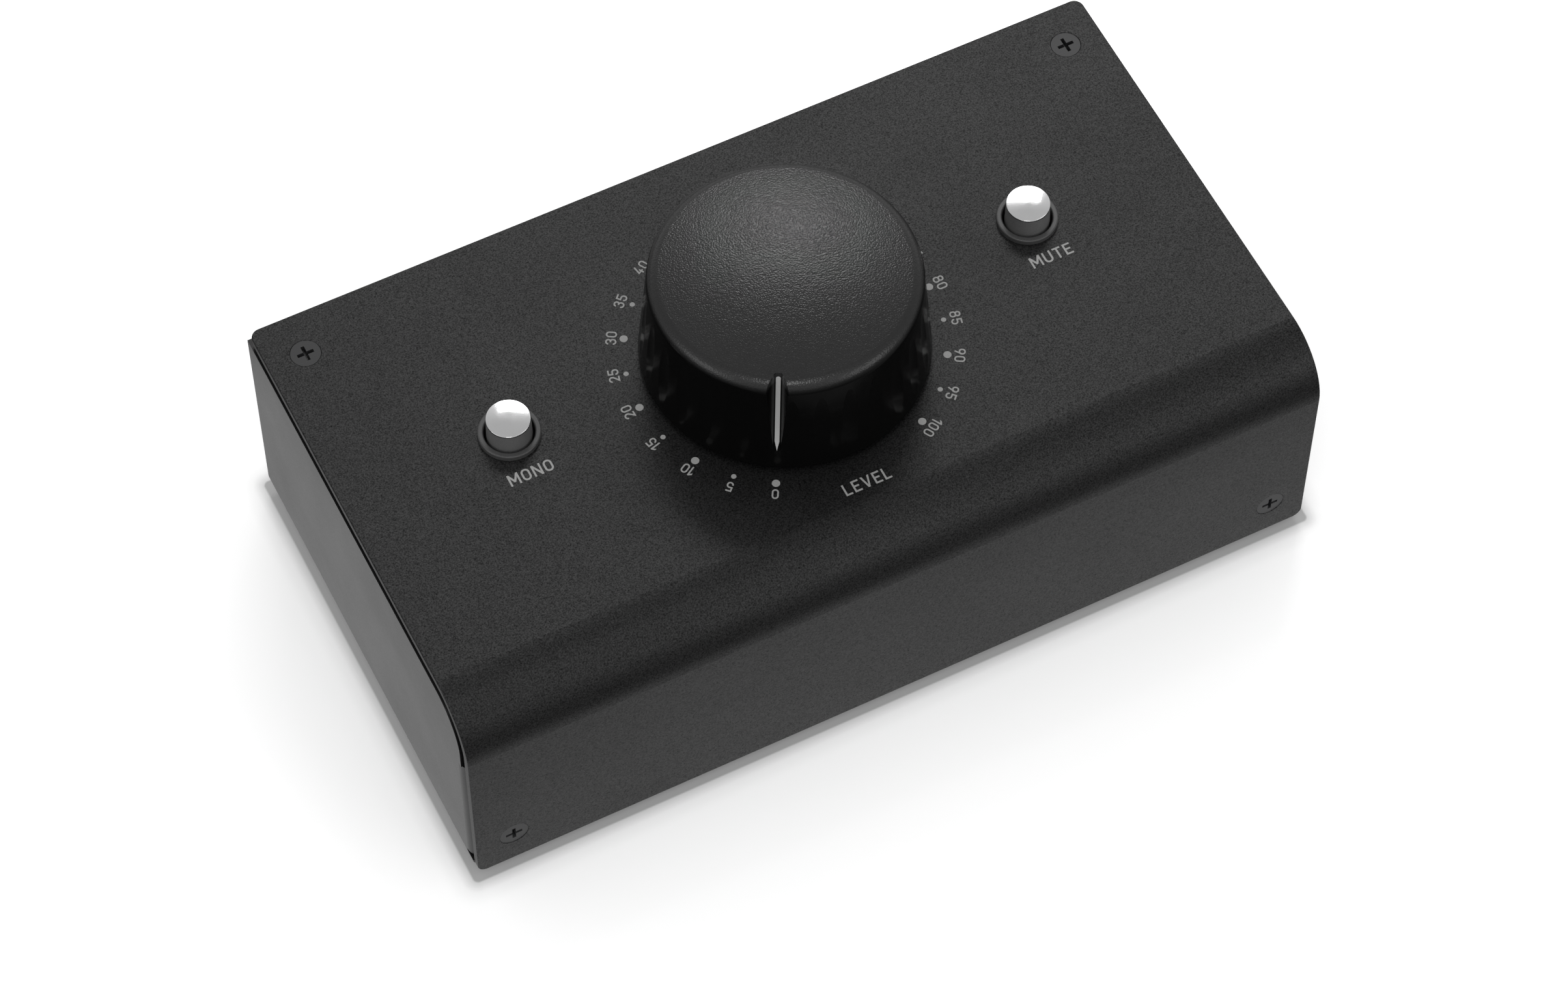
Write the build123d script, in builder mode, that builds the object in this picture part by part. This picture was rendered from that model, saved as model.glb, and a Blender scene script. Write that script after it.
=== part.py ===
from build123d import *
from math import cos, radians, sin, sqrt
import os

os.makedirs("parts", exist_ok=True)

# A desktop studio monitor controller. Millimetres, +Z up, +X to the right, the front faces -Y.
# The origin is on the resting surface, under the middle of the whole box with its rear jacks.

# --- Driving dimensions: enclosure ---
cover_width = 160.0
cover_depth = 87.4
panel_z = 48.8             # height of the control panel above the resting surface
cover_wall = 1.5
cover_bend_r = 11.0        # outer radius of the fold between panel and apron
cover_corner_r = 1.8
cover_edge_r = 0.2         # rounding of the painted sheet's outline
apron_drop = 0.2           # the apron ends this far below the chassis floor
foot_height = 1.7
foot_r = 5.0
foot_chamfer = 0.4
foot_inset_x = 14.0        # foot centre from the cover's side edge
foot_inset_y = 12.0
chassis_wall = 1.2
side_reveal = 0.2          # the chassis stands this far outside the cover's side edge
rear_reveal = 0.5          # and this far behind the cover's rear edge
seam_gap = 1.3             # shadow line between the cover and the chassis side
fold_r = 1.5               # outer radius of the folds along the chassis floor
rear_fold_r = 2.0          # outer radius of the folds at the chassis rear
flange_fold_r = 2.4        # outer radius of the folds behind the apron
flange_width = 14.2
flange_lift = 2.2          # lower end of the apron flanges above the chassis floor
flange_relief = 4.1        # their upper end below the start of the front bend
tongue_height = 1.6        # side wall left under the relief notch
rear_flange_depth = 14.0
fit_gap = 0.1              # assembly clearance

# --- Driving dimensions: fasteners ---
screw_r = 1.45
screw_hole_r = 1.6
thread_gap = 0.04
screw_head_r = 2.6
screw_sink = 0.1           # countersunk heads sit this far below the paint
countersink_r = 2.75
screw_length = 6.0
recess_span = 3.0
recess_slot = 0.65
recess_depth = 0.9
recess_taper = 12.0        # degrees that its walls lean in
screw_inset_x = 7.0        # cover screw centre from the cover's side edge
panel_screw_inset_y = 8.15 # from the cover's rear edge
apron_screw_height = 8.0   # above the apron's lower edge
clinch_nut_r = 3.1
clinch_nut_height = 1.6
pan_head_r = 2.75
pan_head_height = 2.0
pan_head_round = 0.9

# --- Driving dimensions: volume knob, heights above the panel ---
knob_offset_y = 0.35       # knob axis behind the middle of the cover
knob_gap = 1.2             # under the knob's skirt
knob_base_r = 24.85
knob_rim_r = 23.05         # where dome and flank would meet in a sharp edge
knob_rim_height = 22.0
knob_rim_round = 2.5
knob_dome_height = 24.2
knob_cavity_r = 18.0
knob_cavity_height = 17.9
knob_flutes = 30
flute_depth = 0.12
flute_r = 14.0
flute_low_height = 3.0
flute_high_height = 18.5
knob_turn = 300.0          # degrees from 0 to 100 on the scale
pointer_width = 0.78
pointer_gap = 0.8          # from its upper end to the top of the notch
pointer_low_height = 5.5
pointer_point = 2.2        # length of its tapered lower end
pointer_depth = 1.0
notch_top_r = 20.3         # where the notch runs out of the dome
notch_floor = 1.1          # width of the notch along the pointer
notch_angle = 30.0         # slope of each notch wall
notch_reach = 6.0          # the notch opens this far out of its floor
hub_r = 6.5
hub_height = 4.0
hub_plate = 2.0
hub_ribs = 6
hub_rib_width = 1.2
hub_rib_height = 8.0

# --- Driving dimensions: rotary control ---
shaft_r = 3.0
shaft_top_height = 15.0    # above the panel
shaft_flat = 1.5           # depth of the flat
shaft_collar_r = 4.2
disc_thickness = 1.0       # collar, bush flange and wipers
running_gap = 0.04         # radial clearance of the shaft in its bush
push_gap = 0.03            # between parts pushed together
inner_gap = 0.3            # between turning and fixed discs
pot_size = 17.0
pot_wall = 1.3
pot_roof = 1.4
pot_base_thickness = 1.2
bush_r = 4.5
bush_flange_r = 6.0
bush_hole_gap = 0.25
bush_height = 3.4          # above the panel
pot_nut_flats = 12.0
pot_nut_height = 2.4
washer_r = 6.5
washer_thickness = 0.5
track_thickness = 0.8
track_heights = (3.0, 9.0) # lower and upper gang above the board
wiper_gap = 1.0            # between the wipers and the housing's wall
pot_pin_pitch = 5.0

# --- Driving dimensions: push buttons ---
button_x = 49.1
button_offset_y = 5.35     # behind the middle of the cover
button_top_height = 4.95
button_r = 3.8
button_skirt_r = 3.93
button_cap_thickness = 0.6
button_cap_crown = 0.22    # its middle above its rim
button_cap_round = 0.12
button_travel = 3.0
button_clearance = 0.4     # left above the switch when pressed
bezel_r = 5.35
bezel_bore_r = 4.35
bezel_height = 0.95
bezel_round = 0.25
bezel_sleeve_wall = 0.5
bezel_sleeve_length = 4.6
bezel_nut_r = 6.5
bezel_nut_height = 2.0
switch_size = 8.5
switch_height = 10.0
switch_wall = 0.8
switch_pin_x = 4.0
switch_pin_y = 3.0
plunger_size = 3.6
plunger_gap = 0.2
plunger_grip = 3.0         # length of plunger inside the button
plunger_flange = 5.6
plunger_boss_r = 1.2
plunger_boss_length = 2.0
spring_r = 1.7
spring_wire_r = 0.18
spring_turns = 6

# --- Driving dimensions: boards ---
board_thickness = 1.6
stud_length = 17.6         # holds the control board below the panel
stud_r = 2.5
stud_thread_depth = 8.0
stud_x = 58.0
stud_front_y = -29.35      # from the knob axis
stud_rear_y = -6.35
control_board_width = 124.0
control_board_front = 36.35 # in front of the knob axis
control_board_margin = 1.1  # behind the switches
standoff_height = 5.0
standoff_inset_x = 5.0
standoff_inset_front = 5.0
standoff_inset_rear = 22.4
main_board_gap_x = 6.0     # between the board and the chassis sides
main_board_gap_y = 0.6
main_board_front = 8.0     # from the header's middle to the board's front edge
pin_width = 0.6
pin_hole_r = 0.55
pin_length = 2.6
pin_pitch = 2.54
pin_inset = 3.0            # jack pins from the ends of their housing
combo_pin_pitch = 4.33
phone_pin_x = 5.33         # from the jack's middle
mini_pin_x = 2.75
header_columns = 8
header_rows = 2
header_length = 25.0
header_width = 8.5
header_height = 6.0
header_x = -30.0
header_offset_y = -12.35   # from the knob axis
ribbon_width = 20.0
ribbon_thickness = 1.0
ribbon_bulge = 2.6
ribbon_bend_r = 1.6
ribbon_stub = 1.2          # straight length out of each header
resistor_r = 1.2
resistor_length = 6.3
resistor_lead_r = 0.3
resistor_span = 10.0
resistor_xs = (-38.0, -30.0, -22.0, 22.0, 30.0, 38.0)
resistor_offset_y = -24.35 # from the knob axis

# --- Driving dimensions: rear jacks ---
jack_height = 13.2         # jack axes above the main board
jack_spacing = 2.5
nose_gap = 0.2             # radial, round every jack in the rear wall
jack_end_wall = 1.0
combo_width = 26.0
combo_depth = 25.0
combo_top = 13.4           # above the jack axis
combo_nose_r = 11.6
combo_nose_out = 0.8
combo_tunnel_r = 4.2
combo_tunnel_length = 6.0
xlr_outer_r = 9.6
xlr_core_r = 8.0
xlr_depth = 15.0
xlr_pin_r = 1.3
xlr_pin_circle_r = 5.6
xlr_pin_depth = 14.0
combo_screw_x = 10.0
combo_screw_z = 10.5
phone_bore_r = 3.2
phone_bore_length = 32.0
phone_first_inset = 31.0   # first output jack from the chassis side
phone_pitch = 26.0
phone_width = 16.0
phone_depth = 28.0
phone_top = 9.0
phone_nose_r = 5.9
phone_nose_out = 6.0
phone_nut_flats = 14.0
phone_nut_height = 2.2
phone_washer_r = 8.0
mini_inset = 12.0
mini_bore_r = 1.8
mini_bore_length = 14.0
mini_width = 11.0
mini_depth = 13.0
mini_top = 6.0
mini_nose_r = 2.95
mini_nose_out = 4.0
mini_nut_flats = 8.0
mini_nut_height = 1.8
contact_width = 1.5
combo_contact_pitch = 3.7
phone_contact_pitch = 4.0
contact_thickness = 0.5
contact_rise = 2.0         # above the jack axis

# --- Shared places ---
side_x = cover_width / 2 + side_reveal
side_inner_x = side_x - chassis_wall
front_y = -(cover_depth + rear_reveal + phone_nose_out) / 2
middle_y = front_y + cover_depth / 2
cover_rear_y = front_y + cover_depth
rear_y = cover_rear_y + rear_reveal
rear_inner_y = rear_y - chassis_wall
apron_back_y = front_y + cover_wall
panel_under_z = panel_z - cover_wall
cover_low_z = foot_height - apron_drop
floor_z = foot_height + chassis_wall
control_board_z = panel_under_z - stud_length
control_under_z = control_board_z - board_thickness
main_under_z = floor_z + standoff_height
main_board_z = main_under_z + board_thickness
jack_z = main_board_z + jack_height
knob_y = middle_y + knob_offset_y
knob_axis = (0, knob_y)
button_y = middle_y + button_offset_y
button_spots = {"mono": (-button_x, button_y), "mute": (button_x, button_y)}
control_board_y = (knob_y - control_board_front, button_y + switch_size / 2 + control_board_margin)
main_board_x = side_inner_x - main_board_gap_x
header_spot = (header_x, knob_y + header_offset_y)
main_board_y = (header_spot[1] - main_board_front, rear_inner_y - main_board_gap_y)
mini_x = side_inner_x - mini_inset
combo_right_x = mini_x - mini_width / 2 - jack_spacing - combo_width / 2
combo_xs = {"left": combo_right_x - combo_width - jack_spacing, "right": combo_right_x}
phone_left_x = -(side_inner_x - phone_first_inset)
combo_back_y = rear_inner_y - combo_depth
phone_back_y = rear_inner_y - phone_depth
mini_back_y = rear_inner_y - mini_depth
phone_xs = {"left": phone_left_x, "right": phone_left_x + phone_pitch}


def save(piece, name):
    """Label a finished sub-part and write its STEP file."""
    piece.part.label = name
    export_step(piece.part, f"parts/{name}.step")


def facing(x, y, z, direction):
    """Plane at a point whose normal looks along direction and whose x axis stays along X."""
    return Plane(origin=(x, y, z), x_dir=(1, 0, 0), z_dir=direction)


up = (0, 0, 1)
down = (0, 0, -1)
front = (0, -1, 0)
rear = (0, 1, 0)
cover_screw_x = cover_width / 2 - screw_inset_x
panel_screws = [facing(sx * cover_screw_x, cover_rear_y - panel_screw_inset_y, panel_z, up) for sx in (-1, 1)]
apron_screws = [facing(sx * cover_screw_x, front_y, cover_low_z + apron_screw_height, front) for sx in (-1, 1)]
stud_spots = [(sx * stud_x, knob_y + y) for sx in (-1, 1) for y in (stud_front_y, stud_rear_y)]
standoff_spots = [
    (sx * (main_board_x - standoff_inset_x), y)
    for sx in (-1, 1)
    for y in (main_board_y[0] + standoff_inset_front, main_board_y[1] - standoff_inset_rear)
]
combo_screw_spots = [
    (x + side * combo_screw_x, jack_z + side * combo_screw_z) for x in combo_xs.values() for side in (-1, 1)
]


# --- Folded cover: control panel, front bend and apron from one sheet ---
with BuildPart() as top_cover:
    with BuildSketch(Plane.YZ.offset(-cover_width / 2)):
        with BuildLine():
            FilletPolyline((cover_rear_y, panel_z), (front_y, panel_z), (front_y, cover_low_z), radius=cover_bend_r)
            offset(amount=cover_wall, side=Side.LEFT)
        make_face()
    extrude(amount=cover_width)
    fillet(top_cover.edges().filter_by(Axis.Z).group_by(Axis.Y)[-1], cover_corner_r)
    fillet(top_cover.edges().filter_by(Axis.Y).group_by(Axis.Z)[0], cover_corner_r)
    panel_face = top_cover.faces().filter_by(Axis.Z).sort_by(Axis.Z)[-1:]
    fillet(panel_face.edges().filter_by_position(Axis.Y, middle_y - cover_depth / 4, cover_rear_y), cover_edge_r)
    with BuildSketch(Plane.XY.offset(panel_z)):
        with Locations(knob_axis):
            Circle(bush_r + bush_hole_gap)
        with Locations(*button_spots.values()):
            Circle(bezel_bore_r + bezel_sleeve_wall + fit_gap)
    extrude(amount=-cover_wall, mode=Mode.SUBTRACT)
    with Locations(*panel_screws, *apron_screws):
        CounterSinkHole(screw_hole_r, countersink_r, depth=2 * cover_wall, counter_sink_angle=90)
save(top_cover, "top_cover")

# --- Folded chassis: floor and sides, rear wall with its top flange, flanges behind the apron ---
seam_z = panel_under_z - seam_gap
bend_y = front_y + cover_bend_r
bend_z = panel_z - cover_bend_r
side_arc_r = cover_bend_r - cover_wall - seam_gap
side_front_y = apron_back_y + flange_fold_r
flange_low_z = foot_height + flange_lift
flange_high_z = bend_z - flange_relief
tongue_y = apron_back_y + fit_gap
tongue_z = foot_height + tongue_height
with BuildPart() as chassis:
    with BuildSketch(Plane.XZ.offset(-rear_y)):
        with BuildLine():
            FilletPolyline(
                (-side_x, seam_z), (-side_x, foot_height), (side_x, foot_height), (side_x, seam_z), radius=fold_r
            )
            offset(amount=chassis_wall, side=Side.LEFT)
        make_face()
    extrude(amount=rear_y - tongue_y)
    # The channel is trimmed to the side outline, which follows the cover's bend one seam inside it.
    with BuildSketch(Plane.YZ.offset(-side_x)):
        with BuildLine():
            Line((bend_y - side_arc_r, flange_high_z), (bend_y - side_arc_r, bend_z))
            RadiusArc((bend_y - side_arc_r, bend_z), (bend_y, seam_z), side_arc_r)
            Polyline((bend_y, seam_z), (rear_y, seam_z), (rear_y, foot_height + rear_fold_r))
            RadiusArc((rear_y, foot_height + rear_fold_r), (rear_y - rear_fold_r, foot_height), rear_fold_r)
            Polyline(
                (rear_y - rear_fold_r, foot_height),
                (tongue_y, foot_height),
                (tongue_y, tongue_z),
                (side_front_y, tongue_z),
                (side_front_y, flange_high_z),
                (bend_y - side_arc_r, flange_high_z),
            )
        make_face()
    extrude(amount=2 * side_x, mode=Mode.INTERSECT)
    with BuildSketch(Plane.YZ.offset(-side_inner_x)):
        with BuildLine():
            FilletPolyline(
                (rear_y - rear_flange_depth, foot_height),
                (rear_y, foot_height),
                (rear_y, panel_under_z),
                (rear_y - rear_flange_depth, panel_under_z),
                radius=rear_fold_r,
            )
            offset(amount=chassis_wall, side=Side.LEFT)
        make_face()
    extrude(amount=2 * side_inner_x)
    with BuildSketch(Plane.XY.offset(flange_low_z)):
        with BuildLine():
            FilletPolyline(
                (-side_x, side_front_y),
                (-side_x, apron_back_y),
                (-side_x + flange_width, apron_back_y),
                radius=flange_fold_r - fit_gap,
            )
            offset(amount=chassis_wall, side=Side.LEFT)
        make_face()
        mirror(about=Plane.YZ)
    extrude(amount=flange_high_z - flange_low_z)
    with BuildSketch(Plane.XZ.offset(-rear_y)):
        with Locations(*[(x, jack_z) for x in combo_xs.values()]):
            Circle(combo_nose_r + nose_gap)
        with Locations(*[(x, jack_z) for x in phone_xs.values()]):
            Circle(phone_nose_r + nose_gap)
        with Locations((mini_x, jack_z)):
            Circle(mini_nose_r + nose_gap)
        with Locations(*combo_screw_spots):
            Circle(screw_hole_r)
    extrude(amount=chassis_wall, mode=Mode.SUBTRACT)
    for place in panel_screws + apron_screws:
        with BuildSketch(place.offset(-cover_wall)):
            Circle(screw_hole_r)
        extrude(amount=-chassis_wall, mode=Mode.SUBTRACT)
save(chassis, "chassis")

# --- Rubber feet under the chassis corners ---
with BuildPart() as rubber_feet:
    with BuildSketch():
        for sx in (-1, 1):
            with Locations(
                (sx * (cover_width / 2 - foot_inset_x), front_y + foot_inset_y),
                (sx * (cover_width / 2 - foot_inset_x), cover_rear_y - foot_inset_y),
            ):
                Circle(foot_r)
    extrude(amount=foot_height)
    chamfer(rubber_feet.faces().filter_by(Axis.Z).group_by(Axis.Z)[0].edges(), foot_chamfer)
save(rubber_feet, "rubber_feet")

# --- Countersunk cover screws with a cross recess, and the clinch nuts they go into ---
with BuildPart() as cover_screws:
    for place in panel_screws + apron_screws:
        head = place.offset(-screw_sink)
        with Locations(head):
            Cone(screw_r, screw_head_r, screw_head_r - screw_r, align=(Align.CENTER, Align.CENTER, Align.MAX))
            Cylinder(screw_r, screw_length, align=(Align.CENTER, Align.CENTER, Align.MAX))
        with BuildSketch(head):
            Rectangle(recess_span, recess_slot)
            Rectangle(recess_slot, recess_span)
        extrude(amount=-recess_depth, taper=recess_taper, mode=Mode.SUBTRACT)
save(cover_screws, "cover_screws")

with BuildPart() as clinch_nuts:
    for place in panel_screws + apron_screws:
        with BuildSketch(place.offset(-cover_wall - chassis_wall)):
            Circle(clinch_nut_r)
            Circle(screw_r + thread_gap, mode=Mode.SUBTRACT)
        extrude(amount=-clinch_nut_height)
save(clinch_nuts, "clinch_nuts")

# --- Pan-head screws: control board studs, main board standoffs and combined jacks ---
pan_screws = {
    "board_screws": [facing(x, y, control_under_z, down) for x, y in stud_spots],
    "main_screws": [facing(x, y, main_board_z, up) for x, y in standoff_spots],
    "combo_screws": [facing(x, rear_y, z, rear) for x, z in combo_screw_spots],
}
for name, places in pan_screws.items():
    with BuildPart() as screws:
        for place in places:
            with Locations(place):
                Cylinder(screw_r, screw_length, align=(Align.CENTER, Align.CENTER, Align.MAX))
                Cylinder(pan_head_r, pan_head_height, align=(Align.CENTER, Align.CENTER, Align.MIN))
            top = place.offset(pan_head_height)
            fillet(screws.edges().filter_by(GeomType.CIRCLE).filter_by(
                lambda edge: (edge.arc_center - top.origin).length < pan_head_round / 2
            ), pan_head_round)
            with BuildSketch(top):
                Rectangle(recess_span, recess_slot)
                Rectangle(recess_slot, recess_span)
            extrude(amount=-recess_depth, taper=recess_taper, mode=Mode.SUBTRACT)
    save(screws, name)

# --- Volume knob: its profile and cutters lie in the plane of the pointer, heights are above the panel ---
pointer_angle = -90 - (360 - knob_turn) / 2
knob_low_z = panel_z + knob_gap
knob_rim_z = panel_z + knob_rim_height
knob_top_z = panel_z + knob_dome_height
flank_low = Vector(knob_base_r, 0, knob_low_z)
flank = (Vector(knob_rim_r, 0, knob_rim_z) - flank_low).normalized()


def on_flank(height):
    """Point of the knob's conical side at a height above the panel."""
    return flank_low + flank * ((panel_z + height - knob_low_z) / flank.Z)


def outward(run):
    """Direction square to a run in the pointer's plane, away from the knob's axis."""
    return run.cross(Vector(0, -1, 0))


# One shallow finger flute: a barrel beside the flank that dips into it between two heights.
flute_ends = (on_flank(flute_low_height), on_flank(flute_high_height))
flute_half = (flute_ends[1] - flute_ends[0]).length / 2
barrel_r = flute_r - flute_depth
barrel_plane = Plane(
    origin=(flute_ends[0] + flute_ends[1]) / 2 + outward(flank) * barrel_r, x_dir=outward(flank), z_dir=(0, -1, 0)
)
with BuildPart() as flute_cutter:
    with BuildSketch(barrel_plane):
        with BuildLine():
            ThreePointArc((-barrel_r, -flute_half), (-flute_r, 0), (-barrel_r, flute_half))
            Polyline((-barrel_r, flute_half), (0, flute_half), (0, -flute_half), (-barrel_r, -flute_half))
        make_face()
    revolve(axis=Axis(barrel_plane.origin, flank))

# The pointer lies in a V-shaped notch that runs straight from the edge of the dome down to the flank.
dome_drop = knob_dome_height - knob_rim_height
dome_r = (knob_rim_r**2 + dome_drop**2) / (2 * dome_drop)
notch_top = Vector(notch_top_r, 0, knob_top_z - dome_r + sqrt(dome_r**2 - notch_top_r**2))
pointer_low = on_flank(pointer_low_height)
pointer_run = (notch_top - pointer_low).normalized()
pointer_length = (notch_top - pointer_low).length - pointer_gap
notch_slope = sin(radians(notch_angle)) / cos(radians(notch_angle))
with BuildPart() as notch_cutter:
    with BuildSketch(Plane(origin=pointer_low - pointer_run * notch_reach, x_dir=(0, -1, 0), z_dir=pointer_run)):
        with BuildLine():
            Polyline(
                (-notch_floor / 2, 0),
                (notch_floor / 2, 0),
                (notch_floor / 2 + notch_reach * notch_slope, notch_reach),
                (-notch_floor / 2 - notch_reach * notch_slope, notch_reach),
                close=True,
            )
        make_face()
    extrude(amount=pointer_length + 2 * notch_reach)

at_rest = Location((0, knob_y, 0), (0, 0, pointer_angle))
pointer_face = Plane(origin=pointer_low, x_dir=pointer_run, z_dir=outward(pointer_run))
with BuildPart() as knob_pointer:
    with BuildSketch(Plane(at_rest * pointer_face.location)):
        with BuildLine():
            half = pointer_width / 2
            Polyline((pointer_length - half, -half), (pointer_point, -half), (0, 0), (pointer_point, half))
            Line((pointer_point, half), (pointer_length - half, half))
            ThreePointArc((pointer_length - half, half), (pointer_length, 0), (pointer_length - half, -half))
        make_face()
    extrude(amount=-pointer_depth)
save(knob_pointer, "knob_pointer")

knob_plane = facing(0, knob_y, 0, front)
cavity_z = panel_z + knob_cavity_height
with BuildPart() as knob:
    with BuildSketch(knob_plane) as profile:
        rim = Vector(knob_rim_r, knob_rim_z)
        with BuildLine():
            TangentArc((0, knob_top_z), rim, tangent=(1, 0))
            Polyline(
                rim,
                (knob_base_r, knob_low_z),
                (knob_cavity_r, knob_low_z),
                (knob_cavity_r, cavity_z),
                (0, cavity_z),
                (0, knob_top_z),
            )
        make_face()
        fillet(profile.vertices().sort_by_distance(rim)[0], knob_rim_round)
    revolve(axis=Axis((0, knob_y, 0), up))
    with Locations((0, knob_y)):
        with PolarLocations(0, knob_flutes, pointer_angle + 180 / knob_flutes):
            add(flute_cutter.part, mode=Mode.SUBTRACT)
        with PolarLocations(0, 1, pointer_angle):
            add(notch_cutter.part, mode=Mode.SUBTRACT)
    add(knob_pointer.part, mode=Mode.SUBTRACT)
save(knob, "knob")

# --- Ribbed insert that carries the knob on the shaft ---
hub_low_z = panel_z + hub_height
shaft_top_z = panel_z + shaft_top_height
flat_y = knob_y + shaft_r - shaft_flat
with BuildPart() as knob_hub:
    with BuildSketch(Plane.XY.offset(hub_low_z)):
        with Locations(knob_axis):
            Circle(hub_r)
    extrude(amount=cavity_z - hub_low_z)
    with BuildSketch(Plane.XY.offset(cavity_z)):
        with Locations(knob_axis):
            Circle(knob_cavity_r - fit_gap)
    extrude(amount=-hub_plate)
    with BuildSketch(Plane.XY.offset(cavity_z)):
        with Locations(knob_axis):
            with PolarLocations(0, hub_ribs):
                Rectangle(knob_cavity_r - hub_rib_width, hub_rib_width, align=(Align.MIN, Align.CENTER))
    extrude(amount=-hub_plate - hub_rib_height)
    with BuildSketch(Plane.XY.offset(hub_low_z)):
        with Locations(knob_axis):
            Circle(shaft_r + push_gap)
        with Locations((0, flat_y + push_gap)):
            Rectangle(2 * hub_r, hub_r, align=(Align.CENTER, Align.MIN), mode=Mode.SUBTRACT)
    extrude(amount=shaft_top_z + inner_gap - hub_low_z, mode=Mode.SUBTRACT)
save(knob_hub, "knob_hub")

# --- Rotary control: housing, base, bush, shaft, tracks, wipers, washer, nut and pins ---
pot_low_z = control_board_z
roof_under_z = panel_under_z - pot_roof
pot_cavity_r = pot_size / 2 - pot_wall
base_top_z = pot_low_z + pot_base_thickness
with BuildPart() as pot_housing:
    with BuildSketch(Plane.XY.offset(pot_low_z)):
        with Locations(knob_axis):
            Rectangle(pot_size, pot_size)
    extrude(amount=panel_under_z - pot_low_z)
    fillet(pot_housing.edges().filter_by(Axis.Z), pot_wall)
    with BuildSketch(Plane.XY.offset(roof_under_z)):
        with Locations(knob_axis):
            Circle(pot_cavity_r)
    extrude(amount=pot_low_z - roof_under_z, mode=Mode.SUBTRACT)
    with BuildSketch(Plane.XY.offset(roof_under_z)):
        with Locations(knob_axis):
            Circle(bush_r + push_gap)
    extrude(amount=pot_roof, mode=Mode.SUBTRACT)
save(pot_housing, "pot_housing")

# Each turned piece of the control: (outer radius, inner radius, lower end, upper end) of its rings.
wipers_low = [base_top_z + height + track_thickness + inner_gap for height in track_heights]
collar_high_z = roof_under_z - disc_thickness - inner_gap
pot_rings = {
    "pot_base": [(pot_cavity_r - push_gap, 0, pot_low_z, base_top_z)],
    "pot_bush": [
        (bush_flange_r, shaft_r + running_gap, roof_under_z - disc_thickness, roof_under_z),
        (bush_r, shaft_r + running_gap, roof_under_z, panel_z + bush_height),
    ],
    "pot_shaft": [
        (shaft_r, 0, base_top_z + inner_gap, shaft_top_z),
        (shaft_collar_r, 0, collar_high_z - disc_thickness, collar_high_z),
    ],
    "pot_tracks": [
        (pot_cavity_r - push_gap, shaft_r + inner_gap, base_top_z + z, base_top_z + z + track_thickness)
        for z in track_heights
    ],
    "pot_wipers": [(pot_cavity_r - wiper_gap, shaft_r + push_gap, z, z + disc_thickness) for z in wipers_low],
    "pot_washer": [(washer_r, bush_r + thread_gap, panel_z, panel_z + washer_thickness)],
}
for name, rings in pot_rings.items():
    with BuildPart() as turned:
        for outer_r, inner_r, low_z, high_z in rings:
            with BuildSketch(Plane.XY.offset(low_z)):
                with Locations(knob_axis):
                    Circle(outer_r)
                    if inner_r:
                        Circle(inner_r, mode=Mode.SUBTRACT)
            extrude(amount=high_z - low_z)
        if name == "pot_shaft":
            with BuildSketch(Plane.XY.offset(shaft_top_z)):
                with Locations((0, flat_y)):
                    Rectangle(2 * shaft_r, shaft_r, align=(Align.CENTER, Align.MIN))
            extrude(amount=hub_low_z - shaft_top_z, mode=Mode.SUBTRACT)
    save(turned, name)

with BuildPart() as pot_nut:
    with BuildSketch(Plane.XY.offset(panel_z + washer_thickness)):
        with Locations(knob_axis):
            RegularPolygon(pot_nut_flats / 2, 6, major_radius=False)
            Circle(bush_r + thread_gap, mode=Mode.SUBTRACT)
    extrude(amount=pot_nut_height)
save(pot_nut, "pot_nut")

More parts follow.
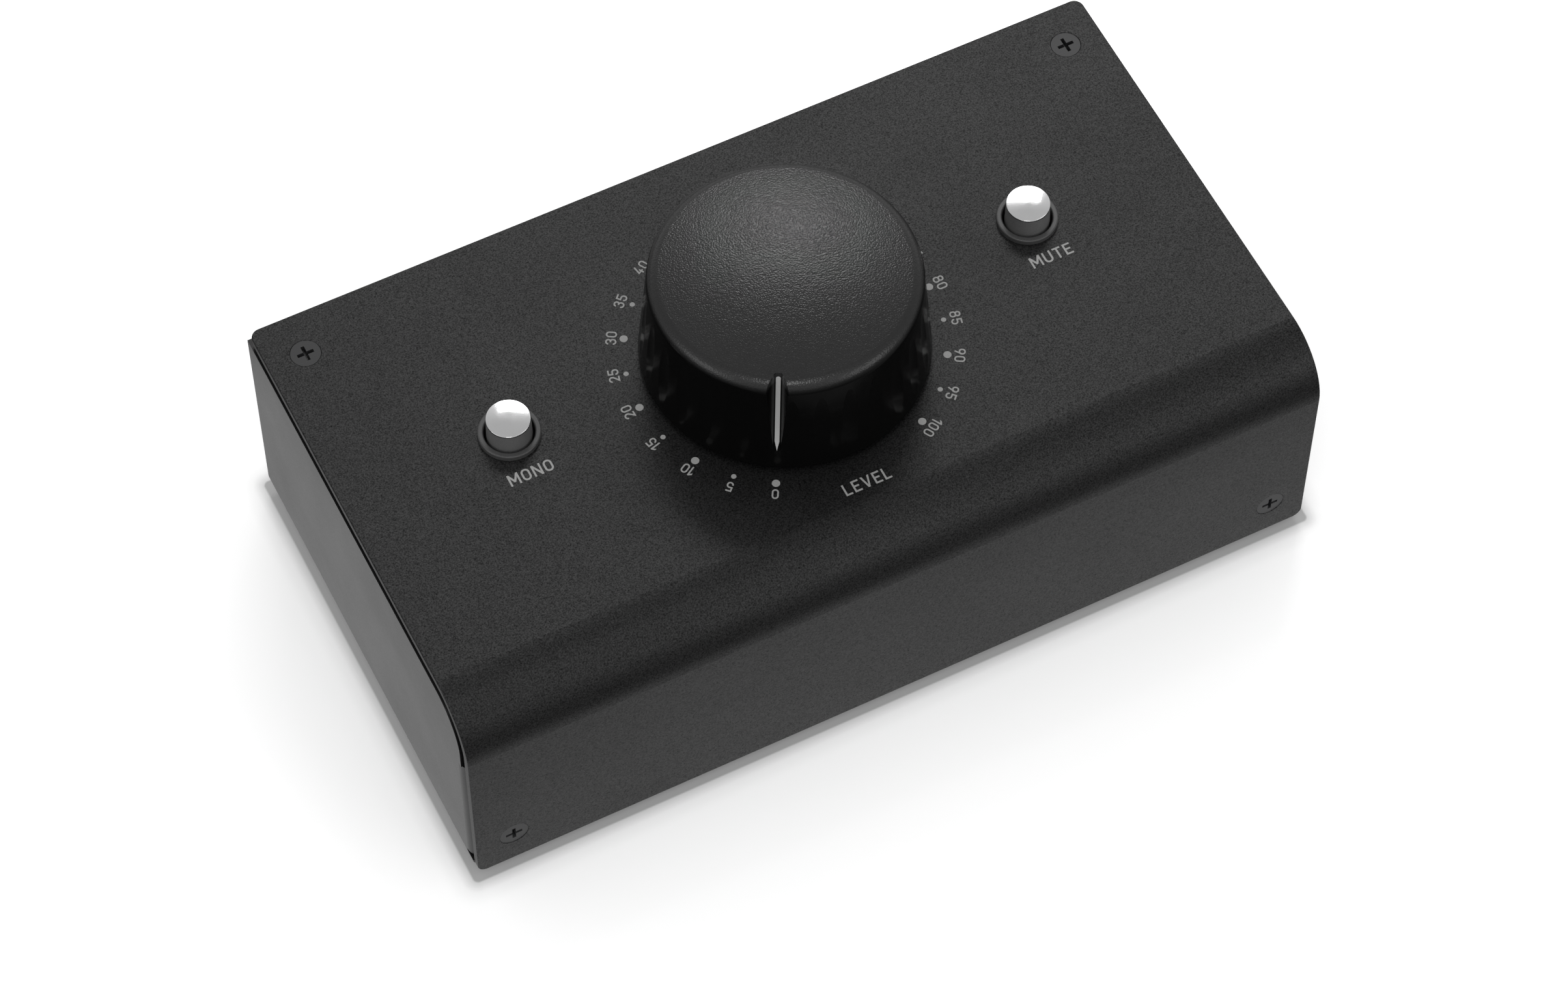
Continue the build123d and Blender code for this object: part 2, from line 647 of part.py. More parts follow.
# --- Push buttons: bezel, body with a metal cap, and the spring switch underneath ---
button_low_z = control_board_z + switch_height + button_travel + button_clearance
cap_high_z = panel_z + button_top_height
cap_low_z = cap_high_z - button_cap_thickness
switch_floor_z = control_board_z + switch_wall
switch_roof_z = control_board_z + switch_height - switch_wall
flange_top_z = switch_roof_z - plunger_gap
flange_bottom_z = flange_top_z - disc_thickness
sleeve_r = bezel_bore_r + bezel_sleeve_wall
for side, spot in button_spots.items():
    with BuildPart() as bezel:
        with BuildSketch(Plane.XY.offset(panel_z)):
            with Locations(spot):
                Circle(bezel_r)
        extrude(amount=bezel_height)
        fillet(bezel.faces().sort_by(Axis.Z)[-1].edges(), bezel_round)
        with BuildSketch(Plane.XY.offset(panel_z)):
            with Locations(spot):
                Circle(sleeve_r)
        extrude(amount=-bezel_sleeve_length)
        with BuildSketch(Plane.XY.offset(panel_z + bezel_height)):
            with Locations(spot):
                Circle(bezel_bore_r)
        extrude(amount=-bezel_height - bezel_sleeve_length, mode=Mode.SUBTRACT)
        bore_edge = bezel.edges().filter_by(GeomType.CIRCLE).group_by(Axis.Z)[-1].sort_by(SortBy.RADIUS)[0]
        fillet(bore_edge, bezel_round)
    save(bezel, f"{side}_bezel")

    with BuildPart() as button:
        with BuildSketch(facing(*spot, 0, front)):
            with BuildLine():
                Polyline(
                    (0, button_low_z),
                    (button_skirt_r, button_low_z),
                    (button_skirt_r, panel_z),
                    (button_r, cap_low_z),
                    (0, cap_low_z),
                    close=True,
                )
            make_face()
        revolve(axis=Axis((*spot, 0), up))
        with BuildSketch(Plane.XY.offset(button_low_z)):
            with Locations(spot):
                Rectangle(plunger_size + 2 * push_gap, plunger_size + 2 * push_gap)
        extrude(amount=plunger_grip, mode=Mode.SUBTRACT)
    save(button, f"{side}_button")

    with BuildPart() as cap:
        with BuildSketch(facing(*spot, 0, front)) as outline:
            cap_rim = Vector(button_r, cap_high_z - button_cap_crown)
            with BuildLine():
                TangentArc((0, cap_high_z), cap_rim, tangent=(1, 0))
                Polyline(cap_rim, (button_r, cap_low_z), (0, cap_low_z), (0, cap_high_z))
            make_face()
            fillet(outline.vertices().sort_by_distance(cap_rim)[0], button_cap_round)
        revolve(axis=Axis((*spot, 0), up))
    save(cap, f"{side}_cap")

    with BuildPart() as plunger:
        with BuildSketch(Plane.XY.offset(flange_bottom_z)):
            with Locations(spot):
                Rectangle(plunger_size, plunger_size)
        extrude(amount=button_low_z + plunger_grip - flange_bottom_z)
        with BuildSketch(Plane.XY.offset(flange_bottom_z)):
            with Locations(spot):
                Rectangle(plunger_flange, plunger_flange)
        extrude(amount=disc_thickness)
        with BuildSketch(Plane.XY.offset(flange_bottom_z)):
            with Locations(spot):
                Circle(plunger_boss_r)
        extrude(amount=-plunger_boss_length)
    save(plunger, f"{side}_plunger")

    with BuildPart() as switch:
        with BuildSketch(Plane.XY.offset(control_board_z)):
            with Locations(spot):
                Rectangle(switch_size, switch_size)
        extrude(amount=switch_height)
        with BuildSketch(Plane.XY.offset(switch_floor_z)):
            with Locations(spot):
                Rectangle(switch_size - 2 * switch_wall, switch_size - 2 * switch_wall)
        extrude(amount=switch_roof_z - switch_floor_z, mode=Mode.SUBTRACT)
        with BuildSketch(Plane.XY.offset(switch_roof_z)):
            with Locations(spot):
                Rectangle(plunger_size + 2 * plunger_gap, plunger_size + 2 * plunger_gap)
        extrude(amount=switch_wall, mode=Mode.SUBTRACT)
    save(switch, f"{side}_switch")

    with BuildPart() as spring:
        spring_length = flange_bottom_z - switch_floor_z - 2 * spring_wire_r - 2 * thread_gap
        with BuildLine():
            coil = Helix(
                pitch=spring_length / spring_turns,
                height=spring_length,
                radius=spring_r,
                center=(*spot, switch_floor_z + spring_wire_r + thread_gap),
            )
        with BuildSketch(Plane(origin=coil @ 0, z_dir=coil % 0)):
            Circle(spring_wire_r)
        sweep(is_frenet=True)
    save(spring, f"{side}_spring")

with BuildPart() as bezel_nuts:
    with BuildSketch(Plane.XY.offset(panel_under_z)):
        with Locations(*button_spots.values()):
            Circle(bezel_nut_r)
            Circle(sleeve_r + thread_gap, mode=Mode.SUBTRACT)
    extrude(amount=-bezel_nut_height)
save(bezel_nuts, "bezel_nuts")

# --- Solder pins: places on each board, shared by the pins and the holes they go through ---
pot_pins = [
    (sx * pot_pin_pitch, knob_y + sy * (pot_size / 2 - pot_wall / 2)) for sx in (-1, 0, 1) for sy in (-1, 1)
]
switch_pins = [
    (x + sx * switch_pin_x / 2, y + sy * switch_pin_y)
    for x, y in button_spots.values()
    for sx in (-1, 1)
    for sy in (-1, 0, 1)
]
header_pins = [
    (header_spot[0] + (i - (header_columns - 1) / 2) * pin_pitch, header_spot[1] + (j - 0.5) * pin_pitch)
    for i in range(header_columns)
    for j in range(header_rows)
]
resistor_y = knob_y + resistor_offset_y
lead_spots = [(x, resistor_y + side * resistor_span / 2) for x in resistor_xs for side in (-1, 1)]
jack_pins = [
    (x + i * combo_pin_pitch, combo_back_y + pin_inset) for x in combo_xs.values() for i in (-2, -1, 0, 1, 2)
]
jack_pins += [
    (x + sx * phone_pin_x, y)
    for x in phone_xs.values()
    for sx in (-1, 1)
    for y in (phone_back_y + pin_inset, rear_inner_y - pin_inset)
]
jack_pins += [(mini_x + sx * mini_pin_x, mini_back_y + pin_inset) for sx in (-1, 1)]
pin_groups = {
    "pot_pins": (pot_pins, control_board_z, -pin_length),
    "switch_pins": (switch_pins, control_board_z, -pin_length),
    "jack_pins": (jack_pins, main_board_z, -pin_length),
    "upper_header_pins": (header_pins, control_under_z, pin_length),
    "lower_header_pins": (header_pins, main_board_z, -pin_length),
}
for name, (spots, from_z, length) in pin_groups.items():
    with BuildPart() as pins:
        with BuildSketch(Plane.XY.offset(from_z)):
            with Locations(*spots):
                Rectangle(pin_width, pin_width)
        extrude(amount=length)
    save(pins, name)

# --- Control board under the panel, on studs welded to the cover ---
with BuildPart() as control_board:
    with BuildSketch(Plane.XY.offset(control_under_z)):
        with Locations((0, (control_board_y[0] + control_board_y[1]) / 2)):
            Rectangle(control_board_width, control_board_y[1] - control_board_y[0])
        with Locations(*pot_pins, *switch_pins, *header_pins, *lead_spots):
            Circle(pin_hole_r, mode=Mode.SUBTRACT)
        with Locations(*stud_spots):
            Circle(screw_hole_r, mode=Mode.SUBTRACT)
    extrude(amount=board_thickness)
save(control_board, "control_board")

with BuildPart() as board_studs:
    with BuildSketch(Plane.XY.offset(control_board_z)):
        with Locations(*stud_spots):
            Circle(stud_r)
    extrude(amount=stud_length)
    with BuildSketch(Plane.XY.offset(control_board_z)):
        with Locations(*stud_spots):
            Circle(screw_r + thread_gap)
    extrude(amount=stud_thread_depth, mode=Mode.SUBTRACT)
save(board_studs, "board_studs")

# --- Resistors of the mono sum and the attenuator, with their leads through the control board ---
with BuildPart() as resistor:
    lead_end = resistor_span / 2
    with BuildLine(Plane.YZ):
        FilletPolyline(
            (-lead_end, -resistor_r - pin_length),
            (-lead_end, 0),
            (lead_end, 0),
            (lead_end, -resistor_r - pin_length),
            radius=2 * resistor_lead_r,
        )
    with BuildSketch(Plane.XY.offset(-resistor_r - pin_length)):
        with Locations((0, -lead_end)):
            Circle(resistor_lead_r)
    sweep()
    with BuildSketch(Plane.XZ.offset(-resistor_length / 2)):
        Circle(resistor_r)
    extrude(amount=resistor_length)
with BuildPart() as resistors:
    with Locations(*[(x, resistor_y, control_board_z + resistor_r) for x in resistor_xs]):
        add(resistor.part)
save(resistors, "resistors")

# --- Main board on standoffs over the chassis floor ---
with BuildPart() as main_board:
    with BuildSketch(Plane.XY.offset(main_under_z)):
        with Locations((0, (main_board_y[0] + main_board_y[1]) / 2)):
            Rectangle(2 * main_board_x, main_board_y[1] - main_board_y[0])
        with Locations(*jack_pins, *header_pins):
            Circle(pin_hole_r, mode=Mode.SUBTRACT)
        with Locations(*standoff_spots):
            Circle(screw_hole_r, mode=Mode.SUBTRACT)
    extrude(amount=board_thickness)
save(main_board, "main_board")

with BuildPart() as main_standoffs:
    with BuildSketch(Plane.XY.offset(floor_z)):
        with Locations(*standoff_spots):
            Circle(stud_r)
            Circle(screw_r + thread_gap, mode=Mode.SUBTRACT)
    extrude(amount=standoff_height)
save(main_standoffs, "main_standoffs")

# --- Headers and the ribbon cable between the boards ---
header_faces = {"upper_header": (control_under_z, -header_height), "lower_header": (main_board_z, header_height)}
for name, (from_z, height) in header_faces.items():
    with BuildPart() as header:
        with BuildSketch(Plane.XY.offset(from_z)):
            with Locations(header_spot):
                Rectangle(header_length, header_width)
        extrude(amount=height)
    save(header, name)

ribbon_low_z = main_board_z + header_height
ribbon_high_z = control_under_z - header_height
with BuildPart() as ribbon_cable:
    with BuildSketch(Plane.YZ.offset(header_x - ribbon_width / 2)):
        with BuildLine():
            start_y = header_spot[1] + ribbon_thickness / 2
            FilletPolyline(
                (start_y, ribbon_low_z),
                (start_y, ribbon_low_z + ribbon_stub),
                (start_y - ribbon_bulge, (ribbon_low_z + ribbon_high_z) / 2),
                (start_y, ribbon_high_z - ribbon_stub),
                (start_y, ribbon_high_z),
                radius=ribbon_bend_r,
            )
            offset(amount=ribbon_thickness, side=Side.LEFT)
        make_face()
    extrude(amount=ribbon_width)
save(ribbon_cable, "ribbon_cable")

# --- Combined XLR and 6.35 mm input jacks: outer shell and the core with the sockets ---
combo_face_y = rear_y + combo_nose_out
combo_bore_length = combo_nose_out + chassis_wall + combo_depth + combo_tunnel_length - jack_end_wall
core_length = combo_nose_out + chassis_wall + combo_depth - jack_end_wall
for side, x in combo_xs.items():
    face = facing(x, combo_face_y, jack_z, rear)
    with BuildPart() as shell:
        with Locations((x, rear_inner_y, main_board_z)):
            Box(combo_width, combo_depth, jack_height + combo_top, align=(Align.CENTER, Align.MAX, Align.MIN))
        with BuildSketch(face):
            Circle(combo_nose_r)
        extrude(amount=-combo_nose_out - chassis_wall)
        with BuildSketch(facing(x, combo_back_y, jack_z, front)):
            Circle(combo_tunnel_r)
        extrude(amount=combo_tunnel_length)
        for radius, length in (
            (xlr_outer_r, xlr_depth),
            (xlr_core_r + push_gap, core_length),
            (phone_bore_r, combo_bore_length),
        ):
            with BuildSketch(face):
                Circle(radius)
            extrude(amount=-length, mode=Mode.SUBTRACT)
        with BuildSketch(facing(0, rear_inner_y, 0, rear)):
            with Locations(*[(sx, -sz) for sx, sz in combo_screw_spots if abs(sx - x) < combo_width / 2]):
                Circle(screw_r + thread_gap)
        extrude(amount=-screw_length, mode=Mode.SUBTRACT)
    save(shell, f"combo_{side}_shell")

    with BuildPart() as core:
        with BuildSketch(face):
            Circle(xlr_core_r)
            Circle(phone_bore_r, mode=Mode.SUBTRACT)
        extrude(amount=-core_length)
        with BuildSketch(face):
            with PolarLocations(xlr_pin_circle_r, 3, 90):
                Circle(xlr_pin_r)
        extrude(amount=-xlr_pin_depth, mode=Mode.SUBTRACT)
    save(core, f"combo_{side}_core")

# --- 6.35 mm output jacks and the 3.5 mm input jack, each with a threaded nose ---
thread_jacks = {
    "output_left_jack": (phone_xs["left"], phone_width, phone_depth, phone_top, phone_nose_r, phone_nose_out,
                         phone_bore_r, phone_bore_length),
    "output_right_jack": (phone_xs["right"], phone_width, phone_depth, phone_top, phone_nose_r, phone_nose_out,
                          phone_bore_r, phone_bore_length),
    "mini_jack": (mini_x, mini_width, mini_depth, mini_top, mini_nose_r, mini_nose_out,
                  mini_bore_r, mini_bore_length),
}
for name, (x, width, depth, top, nose_r, nose_out, bore_r, bore_length) in thread_jacks.items():
    with BuildPart() as jack:
        with Locations((x, rear_inner_y, main_board_z)):
            Box(width, depth, jack_height + top, align=(Align.CENTER, Align.MAX, Align.MIN))
        with BuildSketch(facing(x, rear_inner_y, jack_z, rear)):
            Circle(nose_r)
        extrude(amount=chassis_wall + nose_out)
        with BuildSketch(facing(x, rear_y + nose_out, jack_z, rear)):
            Circle(bore_r)
        extrude(amount=-bore_length, mode=Mode.SUBTRACT)
    save(jack, name)

with BuildPart() as output_washers:
    with BuildSketch(facing(0, rear_y, jack_z, rear)):
        with Locations(*[(x, 0) for x in phone_xs.values()]):
            Circle(phone_washer_r)
            Circle(phone_nose_r + thread_gap, mode=Mode.SUBTRACT)
    extrude(amount=washer_thickness)
save(output_washers, "output_washers")

jack_nuts = {
    "output_nuts": (phone_xs.values(), washer_thickness, phone_nut_flats, phone_nose_r, phone_nut_height),
    "mini_nut": ([mini_x], 0, mini_nut_flats, mini_nose_r, mini_nut_height),
}
for name, (xs, lift, flats, nose_r, height) in jack_nuts.items():
    with BuildPart() as nuts:
        with BuildSketch(facing(0, rear_y + lift, jack_z, rear)):
            with Locations(*[(x, 0) for x in xs]):
                RegularPolygon(flats / 2, 6, major_radius=False)
                Circle(nose_r + thread_gap, mode=Mode.SUBTRACT)
        extrude(amount=height)
    save(nuts, name)

# --- Contact blades against the back of the jacks, standing on the main board ---
contact_spots = [(x + i * combo_contact_pitch, combo_back_y) for x in combo_xs.values() for i in (-3, -2, 2, 3)]
contact_spots += [(x + i * phone_contact_pitch, phone_back_y) for x in phone_xs.values() for i in (-1, 0, 1)]
with BuildPart() as jack_contacts:
    with Locations(*[(x, y, main_board_z) for x, y in contact_spots]):
        Box(contact_width, contact_thickness, jack_height + contact_rise, align=(Align.CENTER, Align.MAX, Align.MIN))
save(jack_contacts, "jack_contacts")
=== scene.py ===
from math import cos, pi, radians, sin

import bpy
from mathutils import Matrix, Vector


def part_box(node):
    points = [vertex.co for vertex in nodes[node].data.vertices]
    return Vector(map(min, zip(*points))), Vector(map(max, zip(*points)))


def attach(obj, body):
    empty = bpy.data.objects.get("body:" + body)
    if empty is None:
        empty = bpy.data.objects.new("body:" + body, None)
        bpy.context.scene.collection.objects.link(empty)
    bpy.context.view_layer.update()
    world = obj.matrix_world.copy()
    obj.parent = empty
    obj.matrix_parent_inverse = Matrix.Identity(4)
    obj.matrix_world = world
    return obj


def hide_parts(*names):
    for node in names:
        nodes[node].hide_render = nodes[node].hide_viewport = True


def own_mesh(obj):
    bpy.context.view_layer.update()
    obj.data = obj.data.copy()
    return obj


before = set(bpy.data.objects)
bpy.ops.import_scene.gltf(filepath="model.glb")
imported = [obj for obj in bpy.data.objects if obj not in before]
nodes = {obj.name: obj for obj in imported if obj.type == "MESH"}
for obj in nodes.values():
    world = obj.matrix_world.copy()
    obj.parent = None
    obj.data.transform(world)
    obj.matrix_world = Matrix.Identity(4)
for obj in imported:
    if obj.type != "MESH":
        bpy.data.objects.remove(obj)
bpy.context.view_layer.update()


# --- Camera -------------------------------------------------------------------------------------
# A long lens from the front left, looking down on the panel. Its distance sets how fast the box
# narrows towards the rear.
lens_data = bpy.data.cameras.new("camera")
lens_data.lens = 115.105
lens_data.sensor_width = 36.0
lens_data.clip_start = 0.05
camera = bpy.data.objects.new("camera", lens_data)
bpy.context.scene.collection.objects.link(camera)
camera.matrix_world = (
    Matrix.Translation((-0.215049, -0.425326, 0.752204))
    @ Matrix.Rotation(radians(-26.9714), 4, "Z")
    @ Matrix.Rotation(radians(90.0 - 57.6989), 4, "X")
    @ Matrix.Rotation(radians(0.2909), 4, "Z")
)
bpy.context.scene.camera = camera


# --- Folded steel cover -------------------------------------------------------------------------
# One sheet bent into the control panel and the apron, sprayed with a satin black powder coat. The
# coat is finely pebbled, a little uneven from place to place, and lighter along the cut edges: partly a
# thinner coat, partly a painted highlight.
def step(tree, kind, inputs=None, **settings):
    """Add one shader node to a finish, with its inputs given as values or as other nodes' sockets."""
    made = tree.nodes.new("ShaderNode" + kind)
    for key, value in settings.items():
        setattr(made, key, value)
    for key, value in (inputs or {}).items():
        if isinstance(value, bpy.types.NodeSocket):
            tree.links.new(value, made.inputs[key])
        else:
            made.inputs[key].default_value = value
    return made


def reckon(tree, how, first, second=0.0, third=0.0, clamp=False):
    """One arithmetic step of a finish."""
    return step(tree, "Math", {0: first, 1: second, 2: third}, operation=how, use_clamp=clamp).outputs[0]


def new_group(name, inputs, outputs):
    """A shader node group with named sockets; returns its tree, its input and its output node."""
    tree = bpy.data.node_groups.new(name, "ShaderNodeTree")
    for label, kind, start in inputs:
        socket = tree.interface.new_socket(name=label, in_out="INPUT", socket_type="NodeSocket" + kind)
        socket.default_value = start
    for label, kind in outputs:
        tree.interface.new_socket(name=label, in_out="OUTPUT", socket_type="NodeSocket" + kind)
    return tree, tree.nodes.new("NodeGroupInput"), tree.nodes.new("NodeGroupOutput")


coat, coat_in, coat_out = new_group(
    "coat_wear_and_edge_sheen",
    [
        ("Colour", "Color", (0.02, 0.02, 0.02, 1)),
        ("Edge Colour", "Color", (0.1, 0.1, 0.1, 1)),
        ("Grain Size", "Float", 0.0003),
        ("Grain Contrast", "Float", 0.3),
        ("Edge Width", "Float", 0.0003),
        ("Edge Amount", "Float", 0.3),
        ("Roughness", "Float", 0.45),
        ("Roughness Spread", "Float", 0.05),
    ],
    [("Color", "Color"), ("Roughness", "Float"), ("Height", "Float"), ("Edge", "Float")],
)
coat_place = step(coat, "TexCoord").outputs["Object"]
coat_scale = reckon(coat, "DIVIDE", 1.0, coat_in.outputs["Grain Size"])
pebbles = step(coat, "TexNoise", {"Vector": coat_place, "Scale": coat_scale, "Detail": 2.0, "Roughness": 0.65})
clouds = step(coat, "TexNoise", {"Vector": coat_place, "Scale": 55.0, "Detail": 4.0, "Roughness": 0.55})
grain = reckon(coat, "SUBTRACT", pebbles.outputs["Fac"], 0.5)
cloud = reckon(coat, "SUBTRACT", clouds.outputs["Fac"], 0.5)
contrast = reckon(coat, "MULTIPLY", coat_in.outputs["Grain Contrast"], 4.0)
shade = reckon(coat, "MULTIPLY_ADD", grain, contrast, 1.0)
shade = reckon(coat, "MAXIMUM", reckon(coat, "MULTIPLY_ADD", cloud, 0.35, shade), 0.12)
tone = step(coat, "VectorMath", {0: coat_in.outputs["Colour"], "Scale": shade}, operation="SCALE")
# Lighter along the edges, by a bevel mask: partly a thinner, rubbed coat, partly a painted highlight where a rounded
# edge would catch the light.
soft_edge = step(coat, "Bevel", {"Radius": coat_in.outputs["Edge Width"]}, samples=6)
true_face = step(coat, "NewGeometry")
facing = step(
    coat, "VectorMath", {0: soft_edge.outputs[0], 1: true_face.outputs["True Normal"]}, operation="DOT_PRODUCT"
)
edge_rub_and_sheen = reckon(coat, "MULTIPLY", reckon(coat, "SUBTRACT", 1.0, facing.outputs["Value"]), 7.0, clamp=True)
patchy = reckon(coat, "MULTIPLY_ADD", cloud, 3.0, 0.75, clamp=True)
edge = reckon(coat, "MULTIPLY", reckon(coat, "MULTIPLY", edge_rub_and_sheen, patchy), coat_in.outputs["Edge Amount"], clamp=True)
edge_wear_and_sheen = step(
    coat, "Mix", {0: edge, 6: tone.outputs[0], 7: coat_in.outputs["Edge Colour"]}, data_type="RGBA"
).outputs[2]
spread = reckon(coat, "MULTIPLY", coat_in.outputs["Roughness Spread"], 2.0)
rough = reckon(coat, "MULTIPLY_ADD", reckon(coat, "ADD", cloud, grain), spread, coat_in.outputs["Roughness"])
coat.links.new(edge_wear_and_sheen, coat_out.inputs["Color"])
coat.links.new(reckon(coat, "MAXIMUM", rough, 0.04), coat_out.inputs["Roughness"])
coat.links.new(pebbles.outputs["Fac"], coat_out.inputs["Height"])
coat.links.new(edge, coat_out.inputs["Edge"])


def finish(
    name, colour, edge_colour, rough, grain_size=0.0003, contrast=0.3, edge_width=0.0003, edge_amount=0.3,
    spread=0.05, bump=0.3, bump_height=0.00002, metallic=0.0,
):
    """A coated or moulded surface: returns the material, its tree, its shader and its grain steps."""
    material = bpy.data.materials.new(name)
    material.use_nodes = True
    tree = material.node_tree
    shader = tree.nodes["Principled BSDF"]
    shader.inputs["Metallic"].default_value = metallic
    grains = tree.nodes.new("ShaderNodeGroup")
    grains.node_tree = coat
    for label, value in {
        "Colour": (*colour, 1), "Edge Colour": (*edge_colour, 1), "Grain Size": grain_size,
        "Grain Contrast": contrast, "Edge Width": edge_width, "Edge Amount": edge_amount,
        "Roughness": rough, "Roughness Spread": spread,
    }.items():
        grains.inputs[label].default_value = value
    relief = step(
        tree, "Bump", {"Height": grains.outputs["Height"], "Strength": bump, "Distance": bump_height}
    )
    tree.links.new(grains.outputs["Color"], shader.inputs["Base Color"])
    tree.links.new(grains.outputs["Roughness"], shader.inputs["Roughness"])
    tree.links.new(relief.outputs["Normal"], shader.inputs["Normal"])
    return material, tree, shader, grains, relief


def dress(material, *names):
    """Give CAD nodes their material."""
    for name in names:
        mesh = nodes[name].data
        mesh.materials.clear()
        mesh.materials.append(material)


cover_paint, cover_tree, cover_shader, cover_grains, _ = finish(
    "cover_paint", (0.0035, 0.0035, 0.0036), (0.02, 0.02, 0.021), 0.44, grain_size=0.00026, contrast=0.9,
    edge_width=0.00025, edge_amount=0.25, spread=0.05, bump=0.6, bump_height=0.00003,
)
glitter = reckon(cover_tree, "SUBTRACT", cover_grains.outputs["Height"], 0.5)
cover_tree.links.new(
    reckon(cover_tree, "MULTIPLY_ADD", glitter, 1.5, 0.47, clamp=True), cover_shader.inputs["Specular IOR Level"]
)
dress(cover_paint, "top_cover")


# --- Folded steel chassis -----------------------------------------------------------------------
# Floor, sides, rear wall and the flanges behind the apron, folded from thinner sheet and sprayed
# with the same powder, which lies a little smoother on the flat sides.
chassis_paint = finish(
    "chassis_paint", (0.004, 0.004, 0.0041), (0.02, 0.02, 0.021), 0.34, grain_size=0.0003, contrast=0.4,
    edge_width=0.00025, edge_amount=0.25, spread=0.05, bump=0.4, bump_height=0.000016,
)[0]
dress(chassis_paint, "chassis")


# --- Rubber feet --------------------------------------------------------------------------------
# Four low discs of black rubber stuck under the floor, dull and dusty, lighter at the rim: partly
# scuffs, partly a painted highlight.
foot_rubber = finish(
    "foot_rubber", (0.018, 0.018, 0.018), (0.07, 0.07, 0.068), 0.8, grain_size=0.0005, contrast=0.35,
    edge_width=0.0005, edge_amount=0.5, spread=0.08, bump=0.5, bump_height=0.00004,
)[0]
dress(foot_rubber, "rubber_feet")


# --- Cover screws and clinch nuts ---------------------------------------------------------------
# Countersunk M3 screws with a cross recess hold the cover. They are blackened steel, smoother than
# the paint around them, and go into zinc plated nuts pressed into the chassis flanges.
black_steel = finish(
    "black_steel", (0.02, 0.02, 0.021), (0.06, 0.06, 0.062), 0.4, grain_size=0.00012, contrast=0.15,
    edge_width=0.00012, edge_amount=0.35, spread=0.04, bump=0.15, bump_height=0.000004,
)[0]
dress(black_steel, "cover_screws", "combo_screws")
zinc = finish(
    "zinc_plate", (0.56, 0.57, 0.58), (0.72, 0.72, 0.73), 0.32, grain_size=0.0002, contrast=0.08,
    edge_width=0.0002, edge_amount=0.5, spread=0.1, bump=0.2, bump_height=0.000006, metallic=1.0,
)[0]
dress(
    zinc, "clinch_nuts", "board_screws", "main_screws", "board_studs", "main_standoffs", "pot_washer",
    "mono_spring", "mute_spring",
)


# --- Volume knob --------------------------------------------------------------------------------
# A deep moulded shell in black plastic: domed top, rounded edge and thirty very shallow finger flutes
# down its flank. The mould leaves a fine leathery grain on the top; the flank is smooth and glossier.
rim_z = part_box("knob")[1].z - 0.0022
knob_plastic, knob_tree, knob_shader, knob_grains, knob_relief = finish(
    "knob_plastic", (0.0025, 0.0025, 0.0025), (0.008, 0.008, 0.008), 0.235, grain_size=0.0002, contrast=0.4,
    edge_width=0.0002, edge_amount=0.1, spread=0.04, bump=0.4, bump_height=0.000012,
)
knob_place = step(knob_tree, "TexCoord").outputs["Object"]
knob_warp = step(knob_tree, "TexNoise", {"Vector": knob_place, "Scale": 900.0, "Detail": 1.0})
knob_bent = step(
    knob_tree, "VectorMath",
    {0: knob_warp.outputs["Color"], 1: (0.0003, 0.0003, 0.0003), 2: knob_place}, operation="MULTIPLY_ADD",
)
leather = step(
    knob_tree, "TexVoronoi", {"Vector": knob_bent.outputs[0], "Scale": 3600.0, "Smoothness": 0.6},
    feature="SMOOTH_F1",
)
leather_relief = step(
    knob_tree, "Bump",
    {
        "Height": leather.outputs["Distance"], "Distance": 0.00007, "Normal": knob_relief.outputs["Normal"],
    },
    invert=True,
)
knob_top = step(
    knob_tree, "MapRange",
    {0: step(knob_tree, "SeparateXYZ", {0: knob_place}).outputs["Z"], 1: rim_z - 0.0016, 2: rim_z - 0.0006},
).outputs[0]
knob_tree.links.new(reckon(knob_tree, "MULTIPLY", knob_top, 0.52), leather_relief.inputs["Strength"])
knob_tree.links.new(reckon(knob_tree, "MULTIPLY_ADD", knob_top, 0.5, 0.1), knob_relief.inputs["Strength"])
moulded = reckon(knob_tree, "MULTIPLY_ADD", knob_top, 0.05, -0.05)
knob_tree.links.new(
    reckon(knob_tree, "ADD", knob_grains.outputs["Roughness"], moulded), knob_shader.inputs["Roughness"]
)
knob_tree.links.new(leather_relief.outputs["Normal"], knob_shader.inputs["Normal"])
knob_tree.links.new(
    reckon(knob_tree, "MULTIPLY_ADD", knob_top, 0.44, 0.1), knob_shader.inputs["Specular IOR Level"]
)
# The top's colour is five times paler than the flank's: painted light, standing in for the sky that the dome's front
# would reflect.
top_painted_lighter = step(
    knob_tree, "VectorMath",
    {0: knob_grains.outputs["Color"], "Scale": reckon(knob_tree, "MULTIPLY_ADD", knob_top, 4.0, 1.0)},
    operation="SCALE",
)
knob_tree.links.new(top_painted_lighter.outputs[0], knob_shader.inputs["Base Color"])
dress(knob_plastic, "knob")

# The pointer is a light grey inlay pressed into a notch of the flank.
pointer_grey = finish(
    "pointer_grey", (0.5, 0.5, 0.495), (0.62, 0.62, 0.62), 0.4, grain_size=0.00015, contrast=0.06,
    edge_width=0.0001, edge_amount=0.4, spread=0.05, bump=0.2, bump_height=0.000005,
)[0]
dress(pointer_grey, "knob_pointer")


